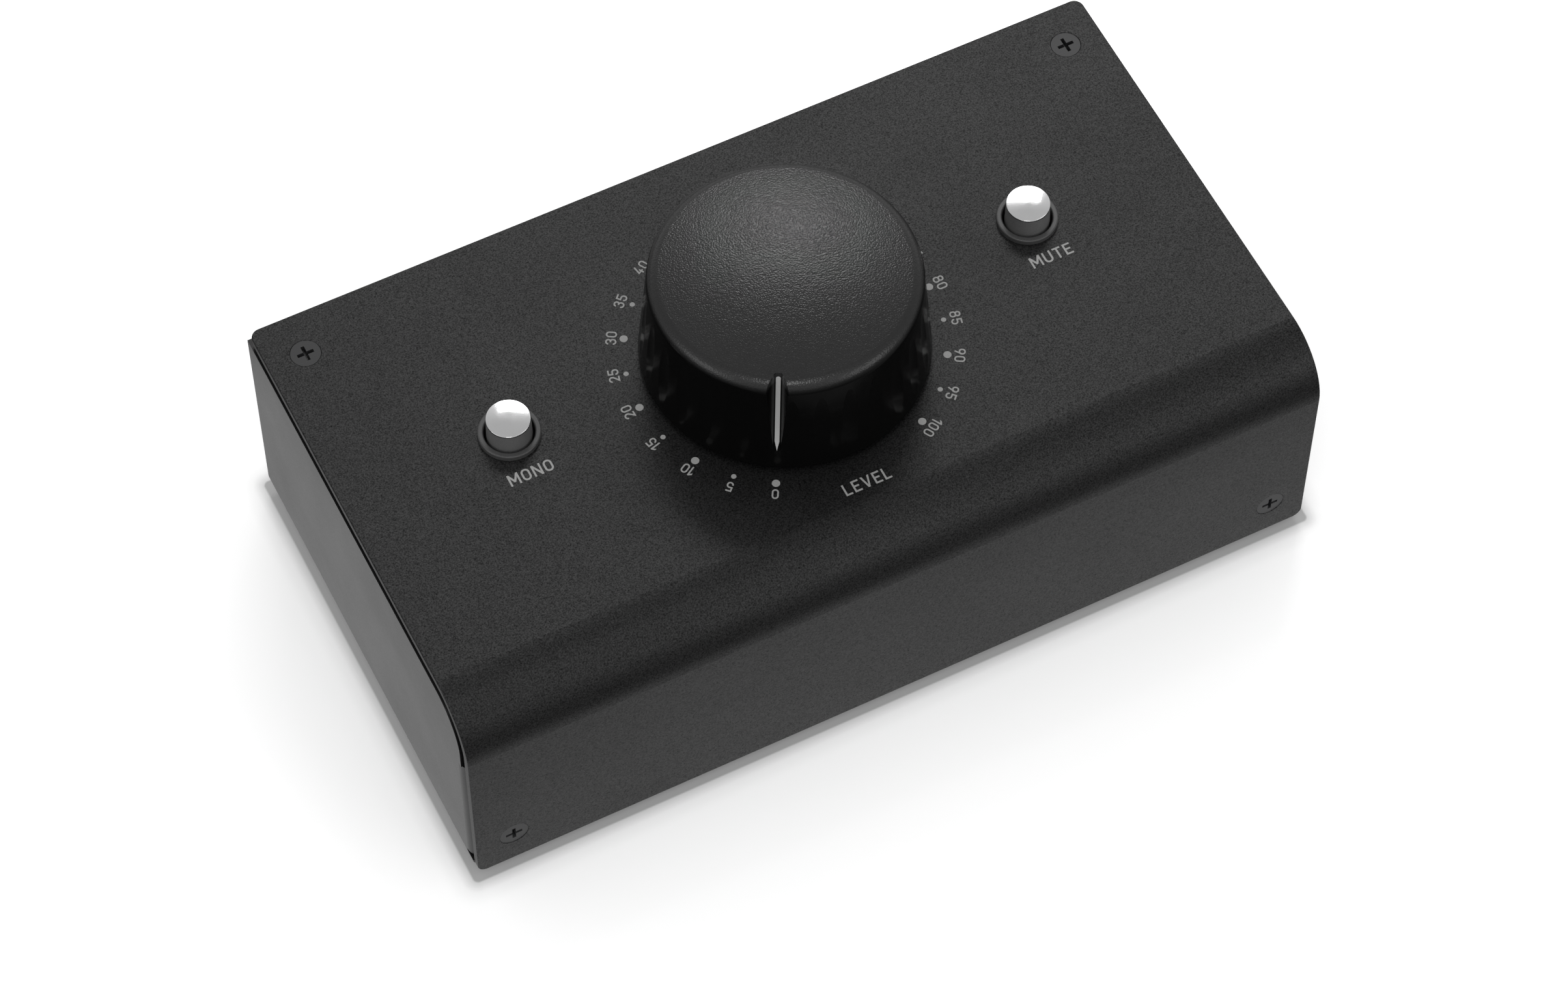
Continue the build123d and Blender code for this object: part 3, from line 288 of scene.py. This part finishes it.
# --- Push buttons -------------------------------------------------------------------------------
# Each button is a grey moulded post in a darker bezel ring, with a disc of bright spun metal on top.
# The lathe leaves fine rings on the disc that stretch reflections.
button_plastic = finish(
    "button_plastic", (0.13, 0.13, 0.13), (0.18, 0.18, 0.18), 0.36, grain_size=0.00018, contrast=0.15,
    edge_width=0.00015, edge_amount=0.3, spread=0.04, bump=0.2, bump_height=0.000006,
)[0]
dress(button_plastic, "mono_button", "mute_button")
bezel_plastic = finish(
    "bezel_plastic", (0.06, 0.06, 0.06), (0.14, 0.14, 0.14), 0.32, grain_size=0.00018, contrast=0.15,
    edge_width=0.00015, edge_amount=0.5, spread=0.04, bump=0.2, bump_height=0.000006,
)[0]
dress(bezel_plastic, "mono_bezel", "mute_bezel")
for side in ("mono", "mute"):
    low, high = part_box(side + "_cap")
    cap_metal, cap_tree, cap_shader, _, cap_relief = finish(
        side + "_cap_metal", (0.9, 0.9, 0.905), (0.95, 0.95, 0.95), 0.085, grain_size=0.00015, contrast=0.03,
        edge_width=0.0001, edge_amount=0.4, spread=0.03, bump=0.1, bump_height=0.000002, metallic=1.0,
    )
    cap_shader.inputs["Anisotropic"].default_value = 0.6
    centred = step(
        cap_tree, "Mapping", {"Vector": step(cap_tree, "TexCoord").outputs["Object"],
                              "Location": (-(low.x + high.x) / 2, -(low.y + high.y) / 2, 0)},
    )
    rings = step(
        cap_tree, "TexWave", {"Vector": centred.outputs[0], "Scale": 900.0, "Distortion": 1.5, "Detail": 2.0},
        wave_type="RINGS", rings_direction="Z",
    )
    ring_relief = step(
        cap_tree, "Bump",
        {
            "Height": rings.outputs["Fac"], "Strength": 0.06, "Distance": 0.000004,
            "Normal": cap_relief.outputs["Normal"],
        },
    )
    cap_tree.links.new(ring_relief.outputs["Normal"], cap_shader.inputs["Normal"])
    cap_tree.links.new(
        step(cap_tree, "Tangent", direction_type="RADIAL", axis="Z").outputs[0], cap_shader.inputs["Tangent"]
    )
    dress(cap_metal, side + "_cap")


# --- Return springs -----------------------------------------------------------------------------
# A coil of zinc plated wire under each plunger, standing on the switch floor. On the switch it
# shortens as its button goes down and pushes the plunger up again; the coil here is built at one fixed length.
def only(piece):
    """Make a piece the only one selected."""
    bpy.ops.object.select_all(action="DESELECT")
    piece.select_set(True)
    bpy.context.view_layer.objects.active = piece


def return_spring(side, turns=6, wire_r=0.00018):
    """One coil spring in the space of its CAD node, squeezed by its button."""
    foot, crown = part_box(side + "_spring")
    middle_x, middle_y = (foot.x + crown.x) / 2, (foot.y + crown.y) / 2
    coil_r = (crown.x - foot.x) / 2 - wire_r
    height = crown.z - foot.z - 2.2 * wire_r
    line = bpy.data.curves.new(side + "_return_spring", "CURVE")
    line.dimensions = "3D"
    line.bevel_depth = wire_r * 0.97
    line.bevel_resolution = 3
    line.use_fill_caps = True
    coil = line.splines.new("POLY")
    steps = 36 * turns
    coil.points.add(steps)
    for i, point in enumerate(coil.points):
        angle = 2 * pi * turns * i / steps
        point.co = (
            middle_x + coil_r * cos(angle), middle_y + coil_r * sin(angle),
            foot.z + 1.1 * wire_r + height * i / steps, 1,
        )
    spring = bpy.data.objects.new(side + "_return_spring", line)
    bpy.context.scene.collection.objects.link(spring)
    only(spring)
    bpy.ops.object.convert(target="MESH")
    spring = bpy.context.active_object
    spring.name = side + "_return_spring"
    spring.data.materials.clear()
    spring.data.materials.append(zinc)
    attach(spring, "enclosure")
    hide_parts(side + "_spring")
    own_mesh(spring)


return_spring("mono")
return_spring("mute")


# --- Switches, rotary control and black mouldings inside ----------------------------------------
# Glass-filled nylon and phenolic parts: switch bodies, plungers, headers, jack housings, the knob's
# Dull black with faint pale fibres, lighter along the edges: partly rubbed, partly a painted highlight.
black_nylon = finish(
    "black_nylon", (0.02, 0.02, 0.02), (0.06, 0.06, 0.06), 0.5, grain_size=0.0004, contrast=0.3,
    edge_width=0.0002, edge_amount=0.35, spread=0.08, bump=0.3, bump_height=0.00001,
)[0]
dress(
    black_nylon, "mono_plunger", "mute_plunger", "mono_switch", "mute_switch", "bezel_nuts", "knob_hub",
    "pot_base", "pot_tracks", "upper_header", "lower_header", "combo_left_core", "combo_right_core",
)
die_cast = finish(
    "die_cast", (0.5, 0.5, 0.51), (0.66, 0.66, 0.67), 0.42, grain_size=0.0004, contrast=0.12,
    edge_width=0.0002, edge_amount=0.5, spread=0.1, bump=0.3, bump_height=0.00001, metallic=1.0,
)[0]
dress(die_cast, "pot_housing", "pot_bush", "pot_shaft")
nickel = finish(
    "nickel_plate", (0.6, 0.58, 0.54), (0.75, 0.73, 0.7), 0.22, grain_size=0.0003, contrast=0.06,
    edge_width=0.00015, edge_amount=0.5, spread=0.08, bump=0.15, bump_height=0.000005, metallic=1.0,
)[0]
dress(nickel, "pot_nut", "output_nuts", "output_washers", "mini_nut")
brass = finish(
    "plated_brass", (0.7, 0.54, 0.26), (0.85, 0.7, 0.4), 0.28, grain_size=0.0002, contrast=0.1,
    edge_width=0.0001, edge_amount=0.4, spread=0.08, bump=0.15, bump_height=0.000004, metallic=1.0,
)[0]
dress(
    brass, "pot_wipers", "pot_pins", "switch_pins", "jack_pins", "jack_contacts", "upper_header_pins",
    "lower_header_pins",
)


# --- Circuit boards -----------------------------------------------------------------------------
# Glass-fibre laminate under green solder mask. Copper tracks show through the mask as slightly
# lighter runs, and the sawn edge is bare yellowish laminate.
board_green, board_tree, board_shader, board_grains, _ = finish(
    "board_green", (0.012, 0.09, 0.035), (0.3, 0.28, 0.16), 0.3, grain_size=0.0006, contrast=0.12,
    edge_width=0.0002, edge_amount=0.7, spread=0.05, bump=0.2, bump_height=0.00001,
)
tracks = step(
    board_tree, "TexBrick",
    {
        "Vector": step(board_tree, "TexCoord").outputs["Object"], "Scale": 1.0, "Mortar Size": 0.00035,
        "Mortar Smooth": 0.1, "Brick Width": 0.011, "Row Height": 0.0032,
    },
    offset=0.37, squash=1.0,
)
mask_tone = step(
    board_tree, "Mix",
    {0: reckon(board_tree, "MULTIPLY", tracks.outputs["Fac"], 0.7), 6: board_grains.outputs["Color"],
     7: (0.03, 0.17, 0.07, 1)},
    data_type="RGBA",
)
board_tree.links.new(mask_tone.outputs[2], board_shader.inputs["Base Color"])
dress(board_green, "control_board", "main_board")

# Metal film resistors: blue lacquered barrels, with coloured value bands across them.
low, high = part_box("resistors")
lacquer, lacquer_tree, lacquer_shader, lacquer_grains, _ = finish(
    "resistor_lacquer", (0.09, 0.28, 0.42), (0.15, 0.36, 0.5), 0.28, grain_size=0.0004, contrast=0.12,
    edge_width=0.0001, edge_amount=0.3, spread=0.05, bump=0.2, bump_height=0.00001,
)
barrel_middle, barrel_half = (low.y + high.y) / 2, 0.00315
along = step(lacquer_tree, "SeparateXYZ", {0: step(lacquer_tree, "TexCoord").outputs["Object"]}).outputs["Y"]
share = step(
    lacquer_tree, "MapRange", {0: along, 1: barrel_middle - barrel_half, 2: barrel_middle + barrel_half}
).outputs[0]
bands = step(lacquer_tree, "ValToRGB", {0: share})
bands.color_ramp.interpolation = "CONSTANT"
stops = bands.color_ramp.elements
stops[0].position, stops[0].color = 0.0, (0.09, 0.28, 0.42, 1)
stops[1].position, stops[1].color = 0.2, (0.2, 0.04, 0.01, 1)
for place, colour in (
    (0.28, (0.09, 0.28, 0.42, 1)), (0.38, (0.01, 0.01, 0.01, 1)), (0.46, (0.09, 0.28, 0.42, 1)),
    (0.56, (0.5, 0.02, 0.01, 1)), (0.64, (0.09, 0.28, 0.42, 1)), (0.74, (0.25, 0.09, 0.02, 1)),
    (0.82, (0.09, 0.28, 0.42, 1)),
):
    stops.new(place).color = colour
banded = step(
    lacquer_tree, "Mix", {0: 0.85, 6: lacquer_grains.outputs["Color"], 7: bands.outputs["Color"]}, data_type="RGBA"
)
lacquer_tree.links.new(banded.outputs[2], lacquer_shader.inputs["Base Color"])
dress(lacquer, "resistors")

# Flat grey ribbon cable: the insulation swells over each conductor, 1.27 mm apart.
ribbon, ribbon_tree, ribbon_shader, _, ribbon_relief = finish(
    "ribbon_grey", (0.33, 0.33, 0.34), (0.45, 0.45, 0.46), 0.5, grain_size=0.0004, contrast=0.06,
    edge_width=0.0001, edge_amount=0.3, spread=0.05, bump=0.1, bump_height=0.00001,
)
strands = step(
    ribbon_tree, "TexWave", {"Vector": step(ribbon_tree, "TexCoord").outputs["Object"], "Scale": 247.4},
    wave_type="BANDS", bands_direction="X",
)
strand_relief = step(
    ribbon_tree, "Bump",
    {
        "Height": strands.outputs["Fac"], "Strength": 0.8, "Distance": 0.0003,
        "Normal": ribbon_relief.outputs["Normal"],
    },
)
ribbon_tree.links.new(strand_relief.outputs["Normal"], ribbon_shader.inputs["Normal"])
dress(ribbon, "ribbon_cable")


# --- Rear jacks ---------------------------------------------------------------------------------
# Black moulded housings. The noses of the three threaded jacks carry a fine thread for their nuts.
jack_plastic = finish(
    "jack_plastic", (0.018, 0.018, 0.018), (0.05, 0.05, 0.05), 0.42, grain_size=0.0003, contrast=0.25,
    edge_width=0.0002, edge_amount=0.3, spread=0.06, bump=0.25, bump_height=0.00001,
)[0]
dress(jack_plastic, "combo_left_shell", "combo_right_shell")
nose_plastic = jack_plastic.copy()
nose_plastic.name = "threaded_nose_plastic"
nose_tree = nose_plastic.node_tree
nose_place = step(nose_tree, "TexCoord").outputs["Object"]
turns = step(
    nose_tree, "TexWave", {"Vector": nose_place, "Scale": 418.9},
    wave_type="BANDS", bands_direction="Y", wave_profile="TRI",
)
rear_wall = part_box("chassis")[1].y
along_nose = step(nose_tree, "SeparateXYZ", {0: nose_place}).outputs["Y"]
on_nose = reckon(nose_tree, "GREATER_THAN", along_nose, rear_wall)
thread = step(
    nose_tree, "Bump",
    {"Height": reckon(nose_tree, "MULTIPLY", turns.outputs["Fac"], on_nose), "Strength": 0.9, "Distance": 0.0003},
)
nose_tree.links.new(thread.outputs["Normal"], nose_tree.nodes["Principled BSDF"].inputs["Normal"])
dress(nose_plastic, "output_left_jack", "output_right_jack", "mini_jack")


# --- Printed scale and words --------------------------------------------------------------------
# Light grey screen print on the panel: a dot every five steps round the knob, a larger one every
# ten, the numbers outside them with their tops outwards, and the words of the three controls.
panel_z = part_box("top_cover")[1].z
knob_low, knob_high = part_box("knob")
dial_x, dial_y = 0.00006, (knob_low.y + knob_high.y) / 2 + 0.000025
dots_r, numbers_r = 0.02742, 0.02955
number_height, number_spacing = 0.0019, 0.17
word_height, word_spacing = 0.0023, 0.19
ink_thickness = 0.00003
print_ink = finish(
    "print_ink", (0.34, 0.34, 0.335), (0.3, 0.3, 0.3), 0.5, grain_size=0.00022, contrast=0.14,
    edge_width=0.00003, edge_amount=0.2, spread=0.05, bump=0.3, bump_height=0.00001,
)[0]


def printed_dot(angle, radius):
    """One round dot of ink at an angle from the rear, clockwise, with its top edge rounded off."""
    bpy.ops.object.select_all(action="DESELECT")
    bpy.ops.mesh.primitive_cylinder_add(
        vertices=40, radius=radius, depth=ink_thickness,
        location=(dial_x + dots_r * sin(angle), dial_y + dots_r * cos(angle), panel_z + ink_thickness / 2),
    )
    dot = bpy.context.active_object
    bpy.ops.object.mode_set(mode="EDIT")
    bpy.ops.mesh.select_all(action="SELECT")
    bpy.ops.mesh.bevel(offset=ink_thickness * 0.4, segments=2, affect="EDGES")
    bpy.ops.object.mode_set(mode="OBJECT")
    return dot


# Each character is drawn with a pen 0.143 of its height wide, as its width and its strokes: "line"
# is an open stroke, "loop" a closed one, "face" an outline. A third number rounds that corner.
pen = 0.143
half = pen / 2
characters = {
    "0": (0.62, [("loop", [
        (half, half, 0.23), (0.549, half, 0.23), (0.549, 1 - half, 0.23), (half, 1 - half, 0.23),
    ])]),
    "1": (0.40, [("face", [
        (0.257, 0), (0.40, 0), (0.40, 1), (0.275, 1), (0.02, 0.80), (0.02, 0.62), (0.257, 0.80),
    ])]),
    "2": (0.60, [("line", [
        (half, 0.70), (half, 1 - half, 0.22), (0.53, 1 - half, 0.22), (0.53, 0.58, 0.2), (0.15, half), (0.61, half),
    ])]),
    "3": (0.61, [
        ("line", [(half, 0.71), (half, 1 - half, 0.2), (0.52, 1 - half, 0.2), (0.52, 0.54, 0.17), (0.26, 0.54)]),
        ("line", [(0.26, 0.54), (0.54, 0.54, 0.2), (0.54, half, 0.22), (half, half, 0.22), (half, 0.31)]),
    ]),
    "4": (0.66, [
        ("line", [(0.40, 1), (0.14, 0.27), (0.66, 0.27)]),
        ("line", [(0.47, 0.52), (0.47, 0)]),
    ]),
    "5": (0.61, [("line", [
        (0.57, 1 - half), (0.10, 1 - half), (0.085, 0.565), (0.54, 0.565, 0.22), (0.54, half, 0.22),
        (half, half, 0.22), (half, 0.31),
    ])]),
    "6": (0.62, [
        ("loop", [(half, half, 0.22), (0.549, half, 0.22), (0.549, 0.56, 0.2), (half, 0.56, 0.2)]),
        ("line", [(0.085, 0.36), (0.36, 1)]),
    ]),
    "7": (0.58, [("line", [(0, 1 - half), (0.49, 1 - half), (0.21, 0)])]),
    "8": (0.64, [
        ("loop", [(half, half, 0.21), (0.569, half, 0.21), (0.569, 0.54, 0.2), (half, 0.54, 0.2)]),
        ("loop", [(0.1, 0.54, 0.18), (0.54, 0.54, 0.18), (0.54, 1 - half, 0.19), (0.1, 1 - half, 0.19)]),
    ]),
    "9": (0.62, [
        ("loop", [(half, 0.44, 0.2), (0.549, 0.44, 0.2), (0.549, 1 - half, 0.22), (half, 1 - half, 0.22)]),
        ("line", [(0.535, 0.64), (0.26, 0)]),
    ]),
    "E": (0.58, [("face", [
        (0, 0), (0.58, 0), (0.58, pen), (pen, pen), (pen, 0.44), (0.50, 0.44), (0.50, 0.583), (pen, 0.583),
        (pen, 1 - pen), (0.58, 1 - pen), (0.58, 1), (0, 1),
    ])]),
    "L": (0.54, [("line", [(half, 1), (half, half), (0.54, half)])]),
    "M": (0.84, [("face", [
        (0, 0), (pen, 0), (pen, 0.68), (0.36, 0.26), (0.48, 0.26), (0.84 - pen, 0.68), (0.84 - pen, 0), (0.84, 0),
        (0.84, 1), (0.69, 1), (0.42, 0.48), (0.15, 1), (0, 1),
    ])]),
    "N": (0.70, [("face", [
        (0, 0), (pen, 0), (pen, 0.70), (0.55, 0), (0.70, 0), (0.70, 1), (0.557, 1), (0.557, 0.30), (0.15, 1), (0, 1),
    ])]),
    "O": (0.66, [("loop", [
        (half, half, 0.25), (0.589, half, 0.25), (0.589, 1 - half, 0.25), (half, 1 - half, 0.25),
    ])]),
    "T": (0.62, [("face", [
        (0.2385, 0), (0.3815, 0), (0.3815, 1 - pen), (0.62, 1 - pen), (0.62, 1), (0, 1), (0, 1 - pen),
        (0.2385, 1 - pen),
    ])]),
    "U": (0.66, [("line", [(half, 1), (half, half, 0.24), (0.589, half, 0.24), (0.589, 1)])]),
    "V": (0.70, [("face", [(0.27, 0), (0.43, 0), (0.70, 1), (0.548, 1), (0.35, 0.22), (0.152, 1), (0, 1)])]),
}


def eased(points):
    """The points of a stroke with each rounded corner drawn as an arc."""
    run = []
    for i, (x, y, *radius) in enumerate(points):
        if not radius:
            run.append(Vector((x, y)))
            continue
        corner = Vector((x, y))
        before = (Vector(points[i - 1][:2]) - corner).normalized()
        after = (Vector(points[(i + 1) % len(points)][:2]) - corner).normalized()
        opening = before.angle(after)
        centre = corner + (before + after).normalized() * radius[0] / sin(opening / 2)
        reach = radius[0] * cos(opening / 2) / sin(opening / 2)
        for share in range(9):
            spoke = (corner + before * reach - centre).lerp(corner + after * reach - centre, share / 8)
            run.append(centre + spoke.normalized() * radius[0])
    return run


def pen_outlines(kind, points):
    """The closed outlines that fill one stroke of the pen."""
    if kind == "face":
        return [[Vector(point) for point in points]]
    run = eased(points)
    sides = ([], [])
    for i, point in enumerate(run):
        ahead = run[(i + 1) % len(run)] - point
        behind = point - run[i - 1]
        if kind == "line" and i == 0:
            behind = ahead
        if kind == "line" and i == len(run) - 1:
            ahead = behind
        across = (ahead.normalized() + behind.normalized()).normalized()
        across = Vector((-across.y, across.x))
        square = Vector((-ahead.y, ahead.x)).normalized()
        reach = half / max(0.3, across.dot(square))
        sides[0].append(point + across * reach)
        sides[1].append(point - across * reach)
    return list(sides) if kind == "loop" else [sides[0] + sides[1][::-1]]


drawn = {}
for letter, (_, strokes) in characters.items():
    parts = []
    for number, (kind, points) in enumerate(strokes):
        outline = bpy.data.curves.new("ink_" + letter, "CURVE")
        outline.dimensions = "2D"
        outline.fill_mode = "BOTH"
        outline.extrude = 0.5 + 0.03 * number
        for loop in pen_outlines(kind, points):
            spline = outline.splines.new("POLY")
            spline.points.add(len(loop) - 1)
            spline.use_cyclic_u = True
            for place, corner in zip(spline.points, loop):
                place.co = (corner.x, corner.y, 0, 1)
        stroke = bpy.data.objects.new("ink_" + letter, outline)
        bpy.context.scene.collection.objects.link(stroke)
        only(stroke)
        bpy.ops.object.convert(target="MESH")
        parts.append(bpy.context.active_object)
    bpy.ops.object.select_all(action="DESELECT")
    for part in parts:
        part.select_set(True)
    bpy.context.view_layer.objects.active = parts[0]
    if len(parts) > 1:
        bpy.ops.object.join()
    drawn[letter] = bpy.context.active_object


def printed_words(text, centre, height, width, spacing, turn=0.0):
    """A word in ink from copies of the drawn characters, height tall and width long."""
    full = sum(characters[letter][0] for letter in text) + spacing * (len(text) - 1)
    start = -full / 2
    copies = []
    for letter in text:
        copy = drawn[letter].copy()
        copy.data = drawn[letter].data.copy()
        bpy.context.scene.collection.objects.link(copy)
        copy.data.transform(
            Matrix.Translation((*centre, panel_z + ink_thickness / 2))
            @ Matrix.Rotation(turn, 4, "Z")
            @ Matrix.Diagonal((width / full, height, ink_thickness, 1))
            @ Matrix.Translation((start, -0.5, 0))
        )
        copies.append(copy)
        start += characters[letter][0] + spacing
    return copies


def gather(pieces, name, body):
    """Join printed pieces into one, with its place in its mesh, riding on a body."""
    bpy.ops.object.select_all(action="DESELECT")
    for piece in pieces:
        piece.select_set(True)
    bpy.context.view_layer.objects.active = pieces[0]
    bpy.ops.object.join()
    whole = bpy.context.active_object
    only(whole)
    bpy.ops.object.transform_apply(location=True, rotation=True, scale=True)
    whole.name = name
    whole.data.materials.clear()
    whole.data.materials.append(print_ink)
    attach(whole, body)
    return whole


dots = []
numbers = []
for mark in range(21):
    angle = radians(-150.0 + 15.0 * mark)
    dots.append(printed_dot(angle, 0.0007 if mark % 2 == 0 else 0.00045))
    digits = str(5 * mark)
    digits_width = number_height * (
        sum(characters[digit][0] for digit in digits) + number_spacing * (len(digits) - 1)
    )
    numbers += printed_words(
        digits, (dial_x + numbers_r * sin(angle), dial_y + numbers_r * cos(angle)), number_height, digits_width,
        number_spacing, -angle,
    )
gather(dots, "scale_dots", "enclosure")
gather(numbers, "scale_numbers", "enclosure")
words = (
    printed_words("LEVEL", (0.0, -0.03305), word_height, 0.00855, word_spacing)
    + printed_words("MONO", (-0.0492, -0.00645), word_height, 0.0080, word_spacing)
    + printed_words("MUTE", (0.0492, -0.00645), word_height, 0.0078, word_spacing)
)
gather(words, "control_words", "enclosure")
for letter in drawn.values():
    bpy.data.objects.remove(letter)


# --- Surface, light and surroundings ------------------------------------------------------------
# A pale polished table under a strong soft lamp behind and weak ones in front, in a pale room. Close
# to the box the table carries a painted shadow, a grey band along its lower edges, and what the box
# reflects of the table is a painted glow, brightest next to the box.
bpy.ops.object.select_all(action="DESELECT")
bpy.ops.mesh.primitive_plane_add(size=6.0, location=(0, 0, 0))
floor = bpy.context.active_object
floor.name = "floor"
floor_paint = bpy.data.materials.new("floor_white")
floor_paint.use_nodes = True
ftree = floor_paint.node_tree
ftree.nodes.clear()
surface_out = step(ftree, "OutputMaterial")
where = step(ftree, "SeparateXYZ", {0: step(ftree, "TexCoord").outputs["Object"]})
box_half_width, box_half_depth, box_middle_y = 0.0802, 0.04395, -0.003
off_x = reckon(ftree, "ABSOLUTE", where.outputs["X"])
beside_x = reckon(ftree, "MAXIMUM", reckon(ftree, "SUBTRACT", off_x, box_half_width), 0.0)
off_y = reckon(ftree, "ABSOLUTE", reckon(ftree, "SUBTRACT", where.outputs["Y"], box_middle_y))
beside_y = reckon(ftree, "MAXIMUM", reckon(ftree, "SUBTRACT", off_y, box_half_depth), 0.0)
clear = reckon(
    ftree, "SQRT",
    reckon(ftree, "ADD", reckon(ftree, "POWER", beside_x, 2.0), reckon(ftree, "POWER", beside_y, 2.0)),
)
# Painted shadow: the table's colour turns grey close to the box's footprint.
painted_floor_shadow = step(ftree, "ValToRGB", {0: reckon(ftree, "MULTIPLY", clear, 100.0)})
ramp = painted_floor_shadow.color_ramp
ramp.elements[0].position, ramp.elements[0].color = 0.08, (0.35, 0.35, 0.35, 1)
ramp.elements[1].position, ramp.elements[1].color = 0.55, (1, 1, 1, 1)
ramp.elements.new(0.115).color = (0.62, 0.62, 0.62, 1)
ramp.elements.new(0.3).color = (0.9, 0.9, 0.9, 1)
# Painted glow: in reflections the table shines by itself, brightest next to the box and dimmer further out.
painted_floor_glow = step(ftree, "ValToRGB", {0: reckon(ftree, "MULTIPLY", clear, 5.0)})
fall = painted_floor_glow.color_ramp
fall.elements[0].position, fall.elements[0].color = 0.135, (0.67, 0.67, 0.67, 1)
fall.elements[1].position, fall.elements[1].color = 0.6, (0.2, 0.2, 0.2, 1)
fall.elements.new(0.18).color = (0.35, 0.35, 0.35, 1)
fall.elements.new(0.26).color = (0.18, 0.18, 0.18, 1)
path = step(ftree, "LightPath")
glow = step(ftree, "Emission", {"Color": painted_floor_shadow.outputs["Color"], "Strength": 0.3})
mirrored = step(ftree, "Emission", {"Color": painted_floor_glow.outputs["Color"], "Strength": 1.0})
plain = step(ftree, "BsdfDiffuse", {"Color": (0.8, 0.8, 0.8, 1)})
lit_part = step(ftree, "BsdfDiffuse", {"Color": painted_floor_shadow.outputs["Color"]})
gloss = step(ftree, "BsdfGlossy", {"Color": (0.05, 0.05, 0.05, 1), "Roughness": 0.12})
pale = step(ftree, "AddShader", {0: glow.outputs[0], 1: lit_part.outputs[0]})
seen = step(ftree, "AddShader", {0: pale.outputs[0], 1: gloss.outputs[0]})
glossy_mix = step(
    ftree, "MixShader", {0: path.outputs["Is Glossy Ray"], 1: plain.outputs[0], 2: mirrored.outputs[0]}
)
camera_mix = step(
    ftree, "MixShader", {0: path.outputs["Is Camera Ray"], 1: glossy_mix.outputs[0], 2: seen.outputs[0]}
)
ftree.links.new(camera_mix.outputs[0], surface_out.inputs["Surface"])
floor.data.materials.append(floor_paint)

world = bpy.data.worlds.new("pale_room")
world.use_nodes = True
bpy.context.scene.world = world
wtree = world.node_tree
wtree.nodes.clear()
world_out = step(wtree, "OutputWorld")
heading = step(wtree, "TexCoord").outputs["Generated"]
frontward = step(
    wtree, "VectorMath", {0: heading, 1: (-0.4535, -0.891, 0.0)}, operation="DOT_PRODUCT"
).outputs["Value"]
sky = step(wtree, "ValToRGB", {0: reckon(wtree, "MULTIPLY_ADD", frontward, 0.5, 0.5)})
ramp = sky.color_ramp
ramp.elements[0].position, ramp.elements[0].color = 0.0, (0.75, 0.75, 0.75, 1)
ramp.elements[1].position, ramp.elements[1].color = 1.0, (0.42, 0.42, 0.42, 1)
for place, tone in ((0.125, 0.68), (0.25, 0.42), (0.375, 0.42), (0.5, 0.42), (0.65, 0.58), (0.825, 0.65)):
    ramp.elements.new(place).color = (tone, tone, tone, 1)
wpath = step(wtree, "LightPath")
room = step(wtree, "Background", {"Color": sky.outputs["Color"], "Strength": 1.0})
white = step(wtree, "Background", {"Color": (1, 1, 1, 1), "Strength": 1.0})
fill = step(wtree, "Background", {"Color": (0.7, 0.7, 0.7, 1), "Strength": 1.0})
lit = step(wtree, "MixShader", {0: wpath.outputs["Is Diffuse Ray"], 1: room.outputs[0], 2: fill.outputs[0]})
both = step(wtree, "MixShader", {0: wpath.outputs["Is Camera Ray"], 1: lit.outputs[0], 2: white.outputs[0]})
wtree.links.new(both.outputs[0], world_out.inputs["Surface"])


def soft_lamp(name, heading, height, distance, width, tall, radiance):
    """A flat soft lamp turned to the object; heading and height in degrees, heading from +X."""
    data = bpy.data.lights.new(name, "AREA")
    data.shape = "RECTANGLE"
    data.size, data.size_y, data.energy = width, tall, 3.1416 * width * tall * radiance
    lamp = bpy.data.objects.new(name, data)
    bpy.context.scene.collection.objects.link(lamp)
    direction = Vector((
        cos(radians(height)) * cos(radians(heading)), cos(radians(height)) * sin(radians(heading)),
        sin(radians(height)),
    ))
    lamp.location = direction * distance
    lamp.rotation_euler = direction.to_track_quat("Z", "Y").to_euler()


soft_lamp("rear_lamp", 62.5, 48.0, 3.0, 0.92, 0.48, 6.6)
soft_lamp("front_lamp", 243.0, 62.0, 1.5, 0.4, 0.4, 3.8)
soft_lamp("left_lamp", 184.0, 25.0, 1.5, 0.7, 0.6, 1.0)
soft_lamp("right_lamp", 302.0, 25.0, 1.5, 0.7, 0.6, 1.0)


bpy.context.view_layer.update()
bpy.context.scene.view_settings.view_transform = "Standard"
